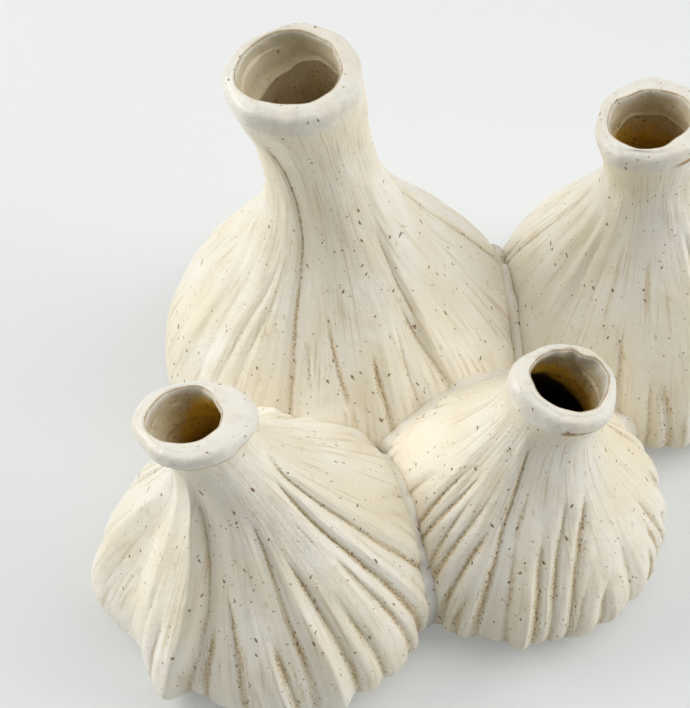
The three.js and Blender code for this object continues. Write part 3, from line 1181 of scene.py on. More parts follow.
    def fold_helpers(self) -> tuple[bpy.types.Object, bpy.types.Object]:
        """Makes the two helper objects that the press reads.

        Returns:
            The fold lines laid out on a drum, and a table with one point for each fold.
        """
        radius = self.form.belly_radius
        points: list[np.ndarray] = []
        edges: list[tuple[int, int]] = []
        lines: list[int] = []
        for number, fold in enumerate(self.folds):
            knots = np.array(fold.points, float)
            spans = np.hypot(np.diff(np.radians(knots[:, 0])) * radius, np.diff(knots[:, 1]))
            length = np.concatenate([[0.0], np.cumsum(spans)])
            count = max(3, int(length[-1] / DRUM_STEP))
            way = np.linspace(0.0, length[-1], count)
            turns = np.radians(spline(length, knots[:, 0], way))
            z = spline(length, knots[:, 1], way)
            start = len(lines)
            points.append(drum(radius, turns, z))
            edges += [(start + k, start + k + 1) for k in range(count - 1)]
            lines += [number] * count
        drawn = mesh_object("fold_lines", np.concatenate(points), edges, [])
        attribute = drawn.data.attributes.new("line", "INT", "POINT")
        attribute.data.foreach_set("value", np.array(lines, np.int32))
        table = mesh_object("fold_table", np.zeros((len(self.folds), 3)), [], [])
        for name in ("depth", "left", "right", "fade"):
            store(table, name, np.array([getattr(fold, name) for fold in self.folds]) * MM)
        store(table, "top", np.array([fold.points[0][1] for fold in self.folds]) * MM)
        store(table, "stain", np.array([fold.stain for fold in self.folds]))
        return drawn, table

    def build(self, press: FoldPress, glaze: bpy.types.Material) -> bpy.types.Object:
        """Builds the pleated bulb.

        Args:
            press: The tree that presses the folds.
            glaze: The bulb's material.

        Returns:
            The finished piece.
        """
        piece = self.blank()
        drawn, table = self.fold_helpers()
        press.apply(
            piece,
            {
                "Fold Lines": drawn,
                "Fold Table": table,
                "Folds": len(self.folds),
                "Sharpness": FOLD_SHARPNESS,
                "Wobble": WOBBLE * MM,
                "Scrape": SCRAPE * MM,
                "Seed": float(self.seed),
                "Rounding": FLAT_ROUNDING * MM,
                "Material": glaze,
            },
        )
        drop(drawn)
        drop(table)
        hand_over(piece, f"bulb_{self.form.name}")
        return piece


# Lips

LIP_COLUMNS = 220
LIP_INNER_EDGE = 1.3
LIP_OUTER_EDGE = 3.4
LIP_CROWN = 0.3
LIP_DROP = 0.4
LIP_TUCK = 0.25
NECK_START = 0.4
LIP_MARKS = ("depth", "edge", "under", "down")
SKIRT_GAP = 0.15
LEAST_LEDGE = 0.05
LEAST_SMEAR = 0.5
COIL_UNEVENNESS = 0.4
COIL_WAVES = range(3, 12)
WITHIN_FROM = 1.2
WITHIN_LENGTH = 2.5


@dataclass(frozen=True)
class Wave:
    """One wave of an outline round a ring.

    Attributes:
        order: Waves per turn.
        size: Its height in millimetres.
        turn: Where it is highest, in degrees.
    """

    order: int
    size: float
    turn: float


def ripple(waves: tuple[Wave, ...], turns: np.ndarray) -> np.ndarray:
    """Adds waves round a ring.

    Args:
        waves: The waves.
        turns: Angles in radians.

    Returns:
        The sum at each angle.
    """
    total = np.zeros_like(turns)
    for wave in waves:
        total += wave.size * np.cos(wave.order * (turns - np.radians(wave.turn)))
    return total


def small_waves(seed: int, size: float, orders: range) -> tuple[Wave, ...]:
    """Draws the small unevenness of a hand-laid coil.

    Args:
        seed: Which unevenness it is.
        size: The height of its longest wave in millimetres.
        orders: Waves per turn.

    Returns:
        The waves, shorter ones lower.
    """
    chance = np.random.default_rng(seed)
    first = orders[0]
    return tuple(
        Wave(order, size * first / order * chance.uniform(0.4, 1.0), chance.uniform(0.0, 360.0))
        for order in orders
    )


@dataclass(frozen=True)
class LipForm:
    """The hand-laid outline of one lip.

    Attributes:
        outer: Waves of its outline.
        hole: Waves of its mouth's outline.
        top: Waves of its top's height.
        skirt: How far its clay is smeared down into the neck.
        skirt_waves: Waves of the smear's lower edge.
        ledge: How thick the smear is.
        ledge_waves: Waves of that thickness.
        smear: How far its clay is smeared down the neck's outside.
        smear_waves: Waves of that smear's lower edge.
        seed: Which small unevenness it has.
    """

    outer: tuple[Wave, ...]
    hole: tuple[Wave, ...]
    top: tuple[Wave, ...]
    skirt: float
    skirt_waves: tuple[Wave, ...]
    ledge: float
    ledge_waves: tuple[Wave, ...]
    smear: float
    smear_waves: tuple[Wave, ...]
    seed: int


@dataclass
class Lip:
    """The flat-topped coil of clay on a bulb's neck, smeared down inside and outside.

    Attributes:
        bulb: The form of the bulb that it lies on.
        form: The lip's own outline.
        hollow: How the mouth's inside turns amber down its glaze, and near black with painted shade
            deeper.
        skin: The finished bulb's skin.
    """

    bulb: BulbForm
    form: LipForm
    hollow: Hollow
    skin: BVHTree

    def __post_init__(self) -> None:
        """Works out the outlines of the mouth and of the lip, and its top, by turn."""
        form, bulb = self.form, self.bulb
        self.turns = np.linspace(-np.pi, np.pi, LIP_COLUMNS, endpoint=False)
        waves = small_waves(form.seed, COIL_UNEVENNESS, COIL_WAVES)
        self.small = [ripple(waves, self.turns + shift) for shift in range(3)]
        hole = bulb.mouth_radius + ripple(form.hole, self.turns) + self.small[0] * 0.6
        self.outer = bulb.lip_radius + ripple(form.outer, self.turns) + self.small[1]
        self.top = LIP_HEIGHT + ripple(form.top, self.turns) + self.small[2] * 0.6
        self.shoulder = self.top - LIP_DROP
        self.low = np.full(LIP_COLUMNS, PIECE_GAP)
        self.inner_line = self.ring(hole, 1.0)
        self.outer_line = self.ring(self.outer)
        span = self.outer_line - self.inner_line
        self.width = np.linalg.norm(span, axis=1, keepdims=True)
        self.away = span / self.width
        self.skirt = form.skirt + ripple(form.skirt_waves, self.turns) + self.small[0] * 2.0
        self.rows = Rows(LIP_COLUMNS, LIP_MARKS)

    def ring(self, radius: np.ndarray, shift: float | np.ndarray = 0.0) -> np.ndarray:
        """Returns an outline in a section's own plane.

        Args:
            radius: One radius for each turn.
            shift: How far it lies off the neck's axis, as a share of the mouth's own offset.

        Returns:
            Flat points by turn.
        """
        across = shift * self.bulb.mouth_off[0] + radius * np.cos(self.turns)
        back = shift * self.bulb.mouth_off[1] + radius * np.sin(self.turns)
        return np.stack([across, back], axis=-1)

    def placed(self, flat: np.ndarray, height: np.ndarray) -> np.ndarray:
        """Places flat points in the part.

        Args:
            flat: Points in a section's plane, by turn.
            height: Heights over the neck's top, by turn. Below it they follow the neck.

        Returns:
            Points in millimetres.
        """
        z = self.bulb.neck_top + np.minimum(height, 0.0)
        section = self.bulb.sections(z)
        return (
            section.centre
            + section.across * flat[:, :1]
            + section.back * flat[:, 1:]
            + section.up * np.maximum(height, 0.0)[:, None]
        )

    def bore(self, depth: np.ndarray, inset: np.ndarray) -> np.ndarray:
        """Returns the bulb's bore at a depth under the neck's top.

        Args:
            depth: Depths by turn.
            inset: How far inside the bore the outline runs, by turn.

        Returns:
            Flat points by turn.
        """
        z = self.bulb.neck_top - depth
        return self.ring(self.bulb.cavity(z, DEEPEST_FOLD) - inset, self.bulb.bore_shift(z))

    def neck(self, depth: np.ndarray) -> np.ndarray:
        """Finds the pleated neck's own radius under its top, with rays from outside.

        Args:
            depth: Depths by turn.

        Returns:
            A radius for each turn.
        """
        section = self.bulb.sections(self.bulb.neck_top - np.maximum(depth, NECK_START))
        flat = self.ring(np.ones(LIP_COLUMNS))
        out = section.across * flat[:, :1] + section.back * flat[:, 1:]
        far = self.bulb.lip_radius * 2.0
        radius = np.full(LIP_COLUMNS, self.bulb.neck_radius)
        for number, (centre, way) in enumerate(zip(section.centre, out)):
            hit = self.skin.ray_cast(Vector(centre + way * far), Vector(-way), far)
            if hit[0] is not None:
                radius[number] = far - hit[3]
        return radius

    def line_mouth(self) -> None:
        """Lays the rows up inside the mouth, over the clay that is smeared down there."""
        ledge = np.maximum(self.form.ledge + ripple(self.form.ledge_waves, self.turns), LEAST_LEDGE)
        wall_top = self.top - LIP_INNER_EDGE
        for share in (1.0, 0.97, 0.93, 0.87, 0.8, 0.7, 0.55, 0.3, 0.0, -0.35, -0.7, -1.0):
            height = -self.skirt * share if share >= 0.0 else -wall_top * share
            bump = math.exp(-(((share - 0.86) / 0.1) ** 2))
            line = self.bore(np.maximum(-height, 0.0), SKIRT_GAP + 0.12 * (share < 1.0) + ledge * bump)
            mix = smooth_rise((wall_top - height) / (wall_top + 2.0))[:, None]
            flat = self.inner_line + (line - self.inner_line) * mix
            creased = smooth_rise((share - 0.88) / 0.06) * smooth_rise(ledge - 0.6)
            self.rows.add(self.placed(flat, height), depth=LIP_HEIGHT - height, under=creased)

    def round_over(self) -> None:
        """Lays the rows over the top, from the mouth's rounded edge to the outer one."""
        for angle in np.linspace(18.0, 90.0, 5):
            turn = math.radians(angle)
            flat = self.inner_line + self.away * LIP_INNER_EDGE * (1.0 - math.cos(turn))
            points = self.placed(flat, self.top - LIP_INNER_EDGE * (1.0 - math.sin(turn)))
            self.rows.add(points, depth=1.5 * (1.0 - angle / 90.0), edge=math.sin(turn * 1.6))
        for share in np.linspace(0.0, 1.0, 9)[1:]:
            inset = LIP_INNER_EDGE + (self.width - LIP_INNER_EDGE - LIP_OUTER_EDGE) * share
            crown = LIP_CROWN * math.sin(math.pi * share) - LIP_DROP * share
            self.rows.add(self.placed(self.inner_line + self.away * inset, self.top + crown))
        for angle in np.linspace(15.0, 90.0, 6):
            turn = math.radians(angle)
            flat = self.outer_line - self.away * LIP_OUTER_EDGE * (1.0 - math.sin(turn))
            height = self.shoulder - LIP_OUTER_EDGE * (1.0 - math.cos(turn))
            self.rows.add(self.placed(flat, height))

    def smear_outside(self) -> None:
        """Lays the rows down the side and the smear on the neck, and back up beneath them."""
        reach = self.form.smear + ripple(self.form.smear_waves, self.turns) + self.small[2] * 3.0
        reach = np.maximum(reach, LEAST_SMEAR)
        merged = smooth_rise((reach - 1.0) / 3.0)
        neck = self.neck(np.zeros(LIP_COLUMNS))
        proud = 0.1 + np.maximum(self.outer - neck, 0.3) * (0.1 + 0.8 * merged)
        side = self.shoulder - LIP_OUTER_EDGE - self.low
        for share, inset in ((0.65, 0.04), (0.4, 0.18), (0.2, 0.45), (0.07, 0.8), (0.0, 1.0)):
            radius = self.outer + (neck + proud - self.outer) * inset
            under = smooth_rise((0.75 - share) / 0.3) * (1.0 - merged)
            points = self.placed(self.ring(radius), self.low + side * share)
            self.rows.add(points, under=under, down=0.5 * (1.0 - share) * merged)
        for share in (0.12, 0.3, 0.5, 0.7, 0.86, 1.0):
            depth = reach * share
            radius = self.neck(depth) + (proud + LIP_TUCK) * (1.0 - share) ** 1.5 - LIP_TUCK
            self.rows.add(self.placed(self.ring(radius), -depth), down=(0.5 + 0.5 * share) * merged)
        for depth in (reach * 0.97, reach * 0.5, np.full(LIP_COLUMNS, NECK_START)):
            radius = self.neck(depth) - LIP_TUCK - 0.1
            self.rows.add(self.placed(self.ring(radius), -depth), down=merged)
        self.rows.add(self.placed(self.ring(neck - LIP_TUCK), self.low), under=1.0)

    def close_bore(self) -> None:
        """Lays the rows that lie on the bore, down to where the first row begins."""
        gap = np.full(LIP_COLUMNS, SKIRT_GAP)
        for share in (0.0, 0.3, 0.6, 0.9):
            depth = self.skirt * share
            height = self.low if share == 0.0 else -depth
            self.rows.add(self.placed(self.bore(depth, gap), height), depth=LIP_HEIGHT + depth)

    def build(self, glaze: bpy.types.Material) -> bpy.types.Object:
        """Builds the lip.

        Args:
            glaze: Its material.

        Returns:
            The finished piece.
        """
        for lay in (self.line_mouth, self.round_over, self.smear_outside, self.close_bore):
            lay()
        count = len(self.rows.points)
        pairs = [((row + 1) % count, row) for row in range(count)]
        points = np.concatenate(self.rows.points)
        faces = ring_quads(pairs, LIP_COLUMNS)
        piece = mesh_object(f"lip_{self.bulb.name}_coil", points, [], faces)
        turns = np.tile(self.turns, count)
        depth = self.rows.mark("depth")
        # The tone gives the mouth's amber glaze and, deeper, its painted shade.
        store(piece, "tone", self.hollow.tone(depth, turns))
        store(piece, "within", smooth_rise((depth - WITHIN_FROM) / WITHIN_LENGTH))
        store(piece, "drum", drum(self.bulb.belly_radius, turns, points[:, 2]) * MM)
        for name in LIP_MARKS[1:]:
            store(piece, name, self.rows.mark(name))
        dress(piece, glaze)
        hand_over(piece, f"lip_{self.bulb.name}")
        return piece


# Seams of slip

SEAM_STEPS = 300
SEAM_TUCK = 0.5
SEAM_DEPTH = 3.0
SEAM_ACROSS = 11
SEAM_LIFT = 1.6
SEAM_SMOOTHING = 4
SEAM_UNEVENNESS = 0.5
SEAM_WAVES = range(3, 24)
GREY_FROM = 12.0
GREY_LENGTH = 45.0


@dataclass(frozen=True)
class SeamForm:
    """How the slip between two bulbs lies in their crevice.

    Attributes:
        name: The seam's node.
        one: The first bulb.
        other: The second bulb.
        widths: Half its width at heights, from low to high.
        swell: How far its middle stands out, or with a negative value sinks in.
        grey: How far its slip turns a cool grey, low down.
        others: Bulbs that end it where three meet.
        seed: Which unevenness it has.
    """

    name: str
    one: str
    other: str
    widths: tuple[tuple[float, float], ...]
    swell: float
    grey: float
    others: tuple[str, ...]
    seed: int


@dataclass
class Seam:
    """The slip between two bulbs: a web between their flats, and the strip that shows outside.

    Attributes:
        form: The seam's own form.
        flat: The plane between the two bulbs.
        skins: Both finished bulbs' skins.
        ends: Flats of other bulbs, past which the seam doesn't run.
    """

    form: SeamForm
    flat: Flat
    skins: tuple[BVHTree, BVHTree]
    ends: list[Flat]

    def __post_init__(self) -> None:
        """Works out the directions in the plane, once round, and the room in each."""
        normal = self.flat.normal
        along = np.cross(normal, [0.0, 0.0, 1.0])
        along /= np.linalg.norm(along)
        self.turns = np.linspace(0.0, 2.0 * np.pi, SEAM_STEPS, endpoint=False)
        rising = np.sin(self.turns)[:, None] * np.cross(along, normal)
        self.directions = np.cos(self.turns)[:, None] * along + rising
        table = Flat(np.array([0.0, 0.0, -1.0]), PIECE_GAP - SEAM_LIFT, np.zeros(3))
        self.room = room_before([table, *self.ends], PIECE_GAP, self.flat.origin, self.directions)

    def outline(self, skin: BVHTree, offset: np.ndarray) -> np.ndarray:
        """Finds a bulb's surface beside the plane, from outside.

        Args:
            skin: The finished bulb's skin.
            offset: How far beside the plane, for each direction.

        Returns:
            The surface's distance from the plane's origin in each direction.
        """
        starts = self.flat.origin + self.flat.normal * offset[:, None]
        reach = np.zeros(SEAM_STEPS)
        for number, (start, direction) in enumerate(zip(starts, self.directions)):
            far = Vector(start + direction * FAR_REACH)
            hit = skin.ray_cast(far, Vector(-direction), FAR_REACH)
            if hit[0] is not None:
                reach[number] = FAR_REACH - hit[3]
        return reach

    def smoothed(self, values: np.ndarray) -> np.ndarray:
        """Averages each value round a ring with its neighbours.

        Args:
            values: The values.

        Returns:
            The smoother values.
        """
        steps = range(-SEAM_SMOOTHING, SEAM_SMOOTHING + 1)
        weights = [math.cos(math.pi * step / (2 * SEAM_SMOOTHING + 2)) for step in steps]
        total = sum(weight * np.roll(values, step) for step, weight in zip(steps, weights))
        return total / sum(weights)

    def beside(self, distance: np.ndarray, offset: np.ndarray | float) -> np.ndarray:
        """Places a row of points.

        Args:
            distance: How far out they lie, by direction.
            offset: How far beside the plane.

        Returns:
            The points.
        """
        aside = np.broadcast_to(offset, (SEAM_STEPS,))[:, None] * self.flat.normal
        return self.flat.origin + self.directions * distance[:, None] + aside

    def half_width(self, uneven: np.ndarray) -> np.ndarray:
        """Finds half the strip's width, by its height on the first bulb.

        Args:
            uneven: The strip's small unevenness.

        Returns:
            A width for each direction.
        """
        far = np.minimum(self.outline(self.skins[0], np.full(SEAM_STEPS, -SLIP_THICKNESS)), self.room)
        height = self.flat.origin[2] + self.directions[:, 2] * far
        heights, widths = zip(*self.form.widths)
        half = np.interp(height, heights, widths) * (1.0 + 0.25 * uneven)
        return np.maximum(self.smoothed(half), SLIP_THICKNESS / 2.0 + PIECE_GAP)

    def build(self, glaze: bpy.types.Material) -> bpy.types.Object:
        """Builds the seam.

        Args:
            glaze: Its material.

        Returns:
            The finished piece.
        """
        form, flat, rows = self.form, self.flat, Rows(SEAM_STEPS, ("middle",))
        uneven = ripple(small_waves(form.seed, SEAM_UNEVENNESS, SEAM_WAVES), self.turns)
        half = self.half_width(uneven)
        sides = []
        for skin, way in zip(self.skins, (-1.0, 1.0)):
            reach = self.smoothed(self.outline(skin, way * half))
            sides.append(np.minimum(reach - SEAM_TUCK, self.room))
        rim = np.maximum(np.minimum(sides[0], sides[1]) - SEAM_DEPTH, 1.0)
        web = SLIP_THICKNESS / 2.0
        for share in (0.4, 0.8, 1.0):
            rows.add(self.beside(rim * share, -web))
        for share in np.linspace(0.0, 1.0, SEAM_ACROSS):
            middle = 1.0 - (2.0 * share - 1.0) ** 2
            distance = sides[0] + (sides[1] - sides[0]) * share
            distance = np.minimum(distance + (form.swell + 0.6 * uneven) * middle, self.room)
            rows.add(self.beside(distance, half * (2.0 * share - 1.0)), middle=middle)
        for share in (1.0, 0.8, 0.4):
            rows.add(self.beside(rim * share, web))
        count = len(rows.points)
        pole = count * SEAM_STEPS
        faces = ring_quads([(row, row + 1) for row in range(count - 1)], SEAM_STEPS)
        faces += fan(0, SEAM_STEPS, pole, turned=True)
        faces += fan(count - 1, SEAM_STEPS, pole + 1)
        poles = [flat.origin - flat.normal * web, flat.origin + flat.normal * web]
        points = np.vstack([*rows.points, poles])
        piece = mesh_object(f"{form.name}_slip", points, [], faces)
        grey = form.grey * (1.0 - smooth_rise((points[:, 2] - GREY_FROM) / GREY_LENGTH))
        grey[-2:] = 0.0
        store(piece, "grey", grey)
        store(piece, "middle", np.append(rows.mark("middle"), [0.0, 0.0]))
        dress(piece, glaze)
        hand_over(piece, form.name)
        return piece


# Finishes

Colour = tuple[float, float, float]


@dataclass(frozen=True)
class SpeckleLayer:
    """Iron specks that burnt through the glaze.

    Attributes:
        cell: The spacing of the cells that may hold a speck, in millimetres.
        size: A speck's width in millimetres.
        share: The share of the cells that hold one.
        length: How long a speck is for its width.
        turn: The direction of its length, as angles in degrees.
        strength: How dark it is, from 0 to 1.
    """

    cell: float
    size: float
    share: float
    length: float
    turn: tuple[float, float, float]
    strength: float


class Shader(Graph):
    """A material's node tree, with the patterns that the glazes share."""

    def __init__(self, name: str) -> None:
        """Makes a material with an empty tree.

        Args:
            name: The material's name.
        """
        self.material = bpy.data.materials.new(name)
        self.material.use_nodes = True
        super().__init__(self.material.node_tree)
        self.place = self.value("ShaderNodeTexCoord", output="Object")

    def stored(self, name: str, output: str = "Fac") -> Signal:
        """Returns what a piece stores for each point: a number, or with Vector a place."""
        settings = {"attribute_type": "GEOMETRY", "attribute_name": name}
        return self.value("ShaderNodeAttribute", settings, {}, output)

    def painted(self, ground: Signal | Colour, *layers: tuple[Signal, Signal | Colour]) -> Signal:
        """Paints layers of colour one over another.

        Args:
            ground: The colour under them.
            *layers: How much of each layer shows, from 0 to 1, and its colour.

        Returns:
            The colour that is seen.
        """
        seen = ground
        for share, paint in layers:
            both = [value if isinstance(value, Signal) else (*value, 1.0) for value in (seen, paint)]
            sockets = {0: share, 6: both[0], 7: both[1]}
            seen = self.value("ShaderNodeMix", {"data_type": "RGBA"}, sockets, 2)
        return seen

    def speckles(self, layer: SpeckleLayer) -> Signal:
        """Scatters specks.

        Args:
            layer: The specks.

        Returns:
            Their strength over the surface.
        """
        turn = {"Vector": self.place, "Rotation": tuple(math.radians(value) for value in layer.turn)}
        turned = self.value("ShaderNodeMapping", {"vector_type": "POINT"}, turn)
        place = self.stretched(turned, (1.0, 1.0, 1.0 / layer.length))
        wobble = self.noise(self.place, 1500.0, 2.0, layer.cell)
        cells = self.node(
            "ShaderNodeTexVoronoi",
            {"voronoi_dimensions": "3D", "feature": "F1"},
            {"Vector": place, "Scale": 1.0 / (layer.cell * MM)},
        )
        chance = self.node("ShaderNodeSeparateColor", {}, {0: self.signal(cells, "Color")})
        chosen = self.signal(chance, 0) > layer.share
        size = layer.size / layer.cell
        radius = (0.5 + self.signal(chance, 1) * 0.8) * (size / 2.0)
        distance = self.signal(cells, "Distance") + (wobble - 0.5) * (size * 1.1)
        spot = 1.0 - (distance / radius).rise(0.8, 1.15)
        return spot * (1.0 - chosen) * layer.strength

    def finished(
        self, colour: Signal, roughness: Number, height: Signal, coat: float
    ) -> bpy.types.Material:
        """Closes the tree with its surface.

        Args:
            colour: The base colour.
            roughness: The roughness.
            height: The relief in millimetres.
            coat: The weight of the clear glaze on top.

        Returns:
            The material.
        """
        relief = {"Strength": 1.0, "Distance": MM, "Height": height}
        surface = self.node(
            "ShaderNodeBsdfPrincipled",
            {},
            {
                "Base Color": colour,
                "Roughness": roughness,
                "Normal": self.value("ShaderNodeBump", {}, relief),
                "IOR": 1.5,
                "Coat Weight": coat,
                "Coat Roughness": 0.25,
            },
        )
        output = self.node("ShaderNodeOutputMaterial")
        self.tree.links.new(surface.outputs[0], output.inputs[0])
        return self.material


SPECKLES = (
    SpeckleLayer(3.0, 0.78, 0.3, 2.6, (20.0, 35.0, 10.0), 0.95),
    SpeckleLayer(3.2, 0.74, 0.3, 3.0, (75.0, -20.0, 50.0), 0.95),
    SpeckleLayer(2.1, 0.6, 0.34, 1.6, (-40.0, 60.0, 25.0), 0.6),
    SpeckleLayer(8.0, 1.15, 0.22, 1.7, (10.0, -65.0, 80.0), 0.9),
)
RUST = SpeckleLayer(3.4, 1.1, 0.35, 2.4, (50.0, 20.0, 65.0), 0.45)
BURNS = SpeckleLayer(2.6, 1.0, 0.5, 1.6, (-15.0, 40.0, 5.0), 0.9)
GRAINS = SpeckleLayer(1.25, 0.62, 0.5, 1.5, (30.0, 10.0, -35.0), 1.0)


@dataclass(frozen=True)
class CreamGlaze:
    """The satin cream glaze, which breaks tan over ribs and pools tan in grooves.

    Attributes:
        cream: The glaze where it lies thick.
        pale: Paler patches of the glaze, and the band beside a groove where the glaze breaks thin over
            a crown and a highlight is painted.
        tan: The glaze that pools in a groove.
        stain_and_shade_brown: The line at a groove's bottom, partly dark glaze and partly painted
            shade; also the slip's darker grains.
        grain: The grains of darker glaze in a groove.
        warm: Patches where the clay warms the glaze.
        streak: The brush lines that run down the ribs.
        iron: The specks.
        bare: The unglazed foot.
        mouth: The inside near the mouth.
        beige: The inside under the lip's smear.
        amber: The inside further down.
        dark: The painted shade deep inside, at the bottom.
        roughness: The glaze's roughness.
        coat: The weight of its clear surface.
    """

    cream: Colour = (0.86, 0.795, 0.64)
    pale: Colour = (0.92, 0.88, 0.78)
    tan: Colour = (0.60, 0.45, 0.22)
    stain_and_shade_brown: Colour = (0.40, 0.28, 0.12)
    grain: Colour = (0.22, 0.13, 0.05)
    warm: Colour = (0.87, 0.75, 0.49)
    streak: Colour = (0.66, 0.53, 0.33)
    iron: Colour = (0.25, 0.145, 0.055)
    bare: Colour = (0.50, 0.40, 0.28)
    mouth: Colour = (0.70, 0.62, 0.45)
    beige: Colour = (0.54, 0.43, 0.24)
    amber: Colour = (0.72, 0.43, 0.05)
    dark: Colour = (0.03, 0.015, 0.006)
    roughness: float = 0.42
    coat: float = 0.12

    def inner(self, shader: Shader) -> Signal:
        """Mixes the colour inside the mouth, by the stored tone, with painted shade near black deep
        down.

        Args:
            shader: The material's tree.

        Returns:
            The colour.
        """
        blotch = (shader.noise(shader.place, 150.0, 3.0, 7.0) - 0.5) * 0.9
        tone = shader.stored("tone") + blotch * 0.8
        runs = shader.noise(shader.stretched(shader.place, (1.0, 1.0, 0.12)), 420.0, 3.0, 8.0)
        return shader.painted(
            self.mouth,
            (tone.rise(0.1, 0.6), self.beige),
            (runs.rise(0.5, 0.68) * 0.5, self.streak),
            (tone.rise(0.55, 1.0), self.amber),
            (shader.speckles(GRAINS) * tone.rise(0.05, 0.5) * 0.9, self.grain),
            (shader.speckles(BURNS) * tone.rise(0.35, 0.9), self.grain),
            # Painted shade, near black, deep down the hollow.
            (tone.rise(1.4, 1.95), self.dark),
        )

    def specks(self, shader: Shader) -> Signal:
        """Scatters iron specks of several sizes.

        Args:
            shader: The material's tree.

        Returns:
            Their strength.
        """
        total = shader.speckles(SPECKLES[0])
        for layer in SPECKLES[1:]:
            total = total.larger(shader.speckles(layer))
        return total

    def brushed(self, shader: Shader) -> Signal:
        """Returns the fine lines that a brush leaves down a side."""
        place = shader.stretched(shader.stored("drum", "Vector"), (1.0, 1.0, 0.07))
        return shader.noise(place, 520.0, 3.0, 1.0)

    def patches(self, shader: Shader) -> Signal:
        """Returns the patches in which the glaze shows its brush lines and grains."""
        return shader.noise(shader.stored("drum", "Vector"), 48.0, 2.0, 5.0)

    def side(self, shader: Shader) -> Signal:
        """Mixes the plain glaze of a side, with its warm patches and brush lines.

        Args:
            shader: The material's tree.

        Returns:
            The colour.
        """
        mottle = shader.noise(shader.place, 42.0, 4.0, 3.0)
        warmth = shader.noise(shader.place, 17.0, 3.0, 12.0)
        lines = self.brushed(shader).rise(0.51, 0.66) * self.patches(shader).rise(0.38, 0.6)
        return shader.painted(
            self.cream,
            (mottle.rise(0.35, 0.68), self.pale),
            (warmth.rise(0.48, 0.72) * 0.55, self.warm),
            (shader.speckles(RUST), self.streak),
            (lines * 0.62, self.streak),
        )

    def material(self) -> bpy.types.Material:
        """Builds the bulbs' material.

        Returns:
            The material.
        """
        shader = Shader("cream_glaze")
        drum_place = shader.stored("drum", "Vector")
        stain = shader.stored("stain")
        held = stain.rise(0.05, 0.6) * stain.rise(0.0, 0.3)
        close = shader.stored("close").rise(0.12, 0.4) * held
        waver = shader.noise(shader.stretched(drum_place, (1.0, 1.0, 0.3)), 260.0, 2.0, 6.0)
        beside = abs(shader.stored("near") * (1.0 / MM) + (waver - 0.5) * 1.8)
        # A band beside each groove: glaze breaking thin over the rib's crown, with a painted highlight
        # on it.
        crest_highlight = beside.rise(1.5, 2.3) * (1.0 - beside.rise(2.8, 4.4)) * held
        broken = shader.noise(shader.stretched(drum_place, (1.0, 1.0, 0.25)), 250.0, 3.0, 9.0)
        broken = broken.rise(0.36, 0.6)
        sandy = shader.noise(shader.place, 1100.0, 2.0, 10.0).rise(0.38, 0.6)
        pooled = (1.0 - beside.rise(0.7, 2.3)) * held * (broken * 0.6 + 0.4)
        # A thin line along each groove's bottom: partly dark glaze, partly painted shade where light
        # falls off in the groove.
        crease_stain_and_shade = (1.0 - beside.rise(0.2, 0.9)) * close * broken
        grains = held * (1.0 - beside.rise(1.2, 2.6)) + self.patches(shader).rise(0.5, 0.8) * 0.2
        within = shader.stored("within")
        bare = shader.stored("bare")
        colour = shader.painted(
            self.side(shader),
            (crest_highlight * 0.7, self.pale),
            (pooled * (sandy * 0.55 + 0.25), self.tan),
            (crease_stain_and_shade * (sandy * 0.5 + 0.2), self.stain_and_shade_brown),
            (shader.speckles(GRAINS) * grains * 0.85, self.grain),
            (within, self.inner(shader)),
            (self.specks(shader), self.iron),
            (bare, self.bare),
        )
        grain = shader.noise(shader.place, 900.0, 2.0, 2.0)
        swell = shader.noise(shader.place, 150.0, 4.0, 4.0)
        height = grain * 0.13 + swell + self.brushed(shader) * 0.14 + crest_highlight * 0.15
        height = height - (1.0 - beside.rise(0.0, 1.3)) * close * 0.35
        fold = shader.stored("fold") * (1.0 / MM)
        roughness = self.roughness + (swell - 0.5) * 0.15 + bare * 0.35 + within * 0.1
        return shader.finished(colour, roughness + fold.rise(1.0, 5.0) * 0.08, height, self.coat)


@dataclass(frozen=True)
class LipGlaze:
    """The whiter, smoother glaze of the lips.

    Attributes:
        white: Where it lies thick.
        warm: Where it lies thin.
        dull: Small duller blotches.
        rust: The line along the mouth's edge and the undercut.
        roughness: Its roughness.
        coat: The weight of its clear surface.
    """

    white: Colour = (0.84, 0.81, 0.72)
    warm: Colour = (0.82, 0.76, 0.63)
    dull: Colour = (0.66, 0.62, 0.53)
    rust: Colour = (0.40, 0.265, 0.11)
    roughness: float = 0.36
    coat: float = 0.15

    def material(self, cream: CreamGlaze) -> bpy.types.Material:
        """Builds the lips' material.

        Args:
            cream: The bulbs' glaze, which shows beside it.

        Returns:
            The material.
        """
        shader = Shader("lip_glaze")
        mottle = shader.noise(shader.place, 75.0, 4.0, 13.0)
        dull = shader.noise(shader.place, 210.0, 4.0, 17.0)
        broken = shader.noise(shader.place, 260.0, 3.0, 21.0)
        edge = shader.stored("edge").rise(0.75, 1.0) * (broken.rise(0.3, 0.55) * 0.4 + 0.5)
        under = shader.stored("under").rise(0.3, 0.75) * broken.rise(0.2, 0.45)
        colour = shader.painted(
            self.white,
            (mottle.rise(0.42, 0.7), self.warm),
            (dull.rise(0.5, 0.72) * 0.5, self.dull),
            (shader.stored("within"), cream.inner(shader)),
            (shader.stored("down").rise(0.1, 0.85), cream.side(shader)),
            (edge.larger(under), self.rust),
            (cream.specks(shader), cream.iron),
        )
        grain = shader.noise(shader.place, 900.0, 1.0)
        height = shader.noise(shader.place, 120.0, 4.0, 6.0) * 1.3 + dull * 0.3 + grain * 0.08
        return shader.finished(colour, self.roughness + (mottle - 0.5) * 0.1, height, self.coat)


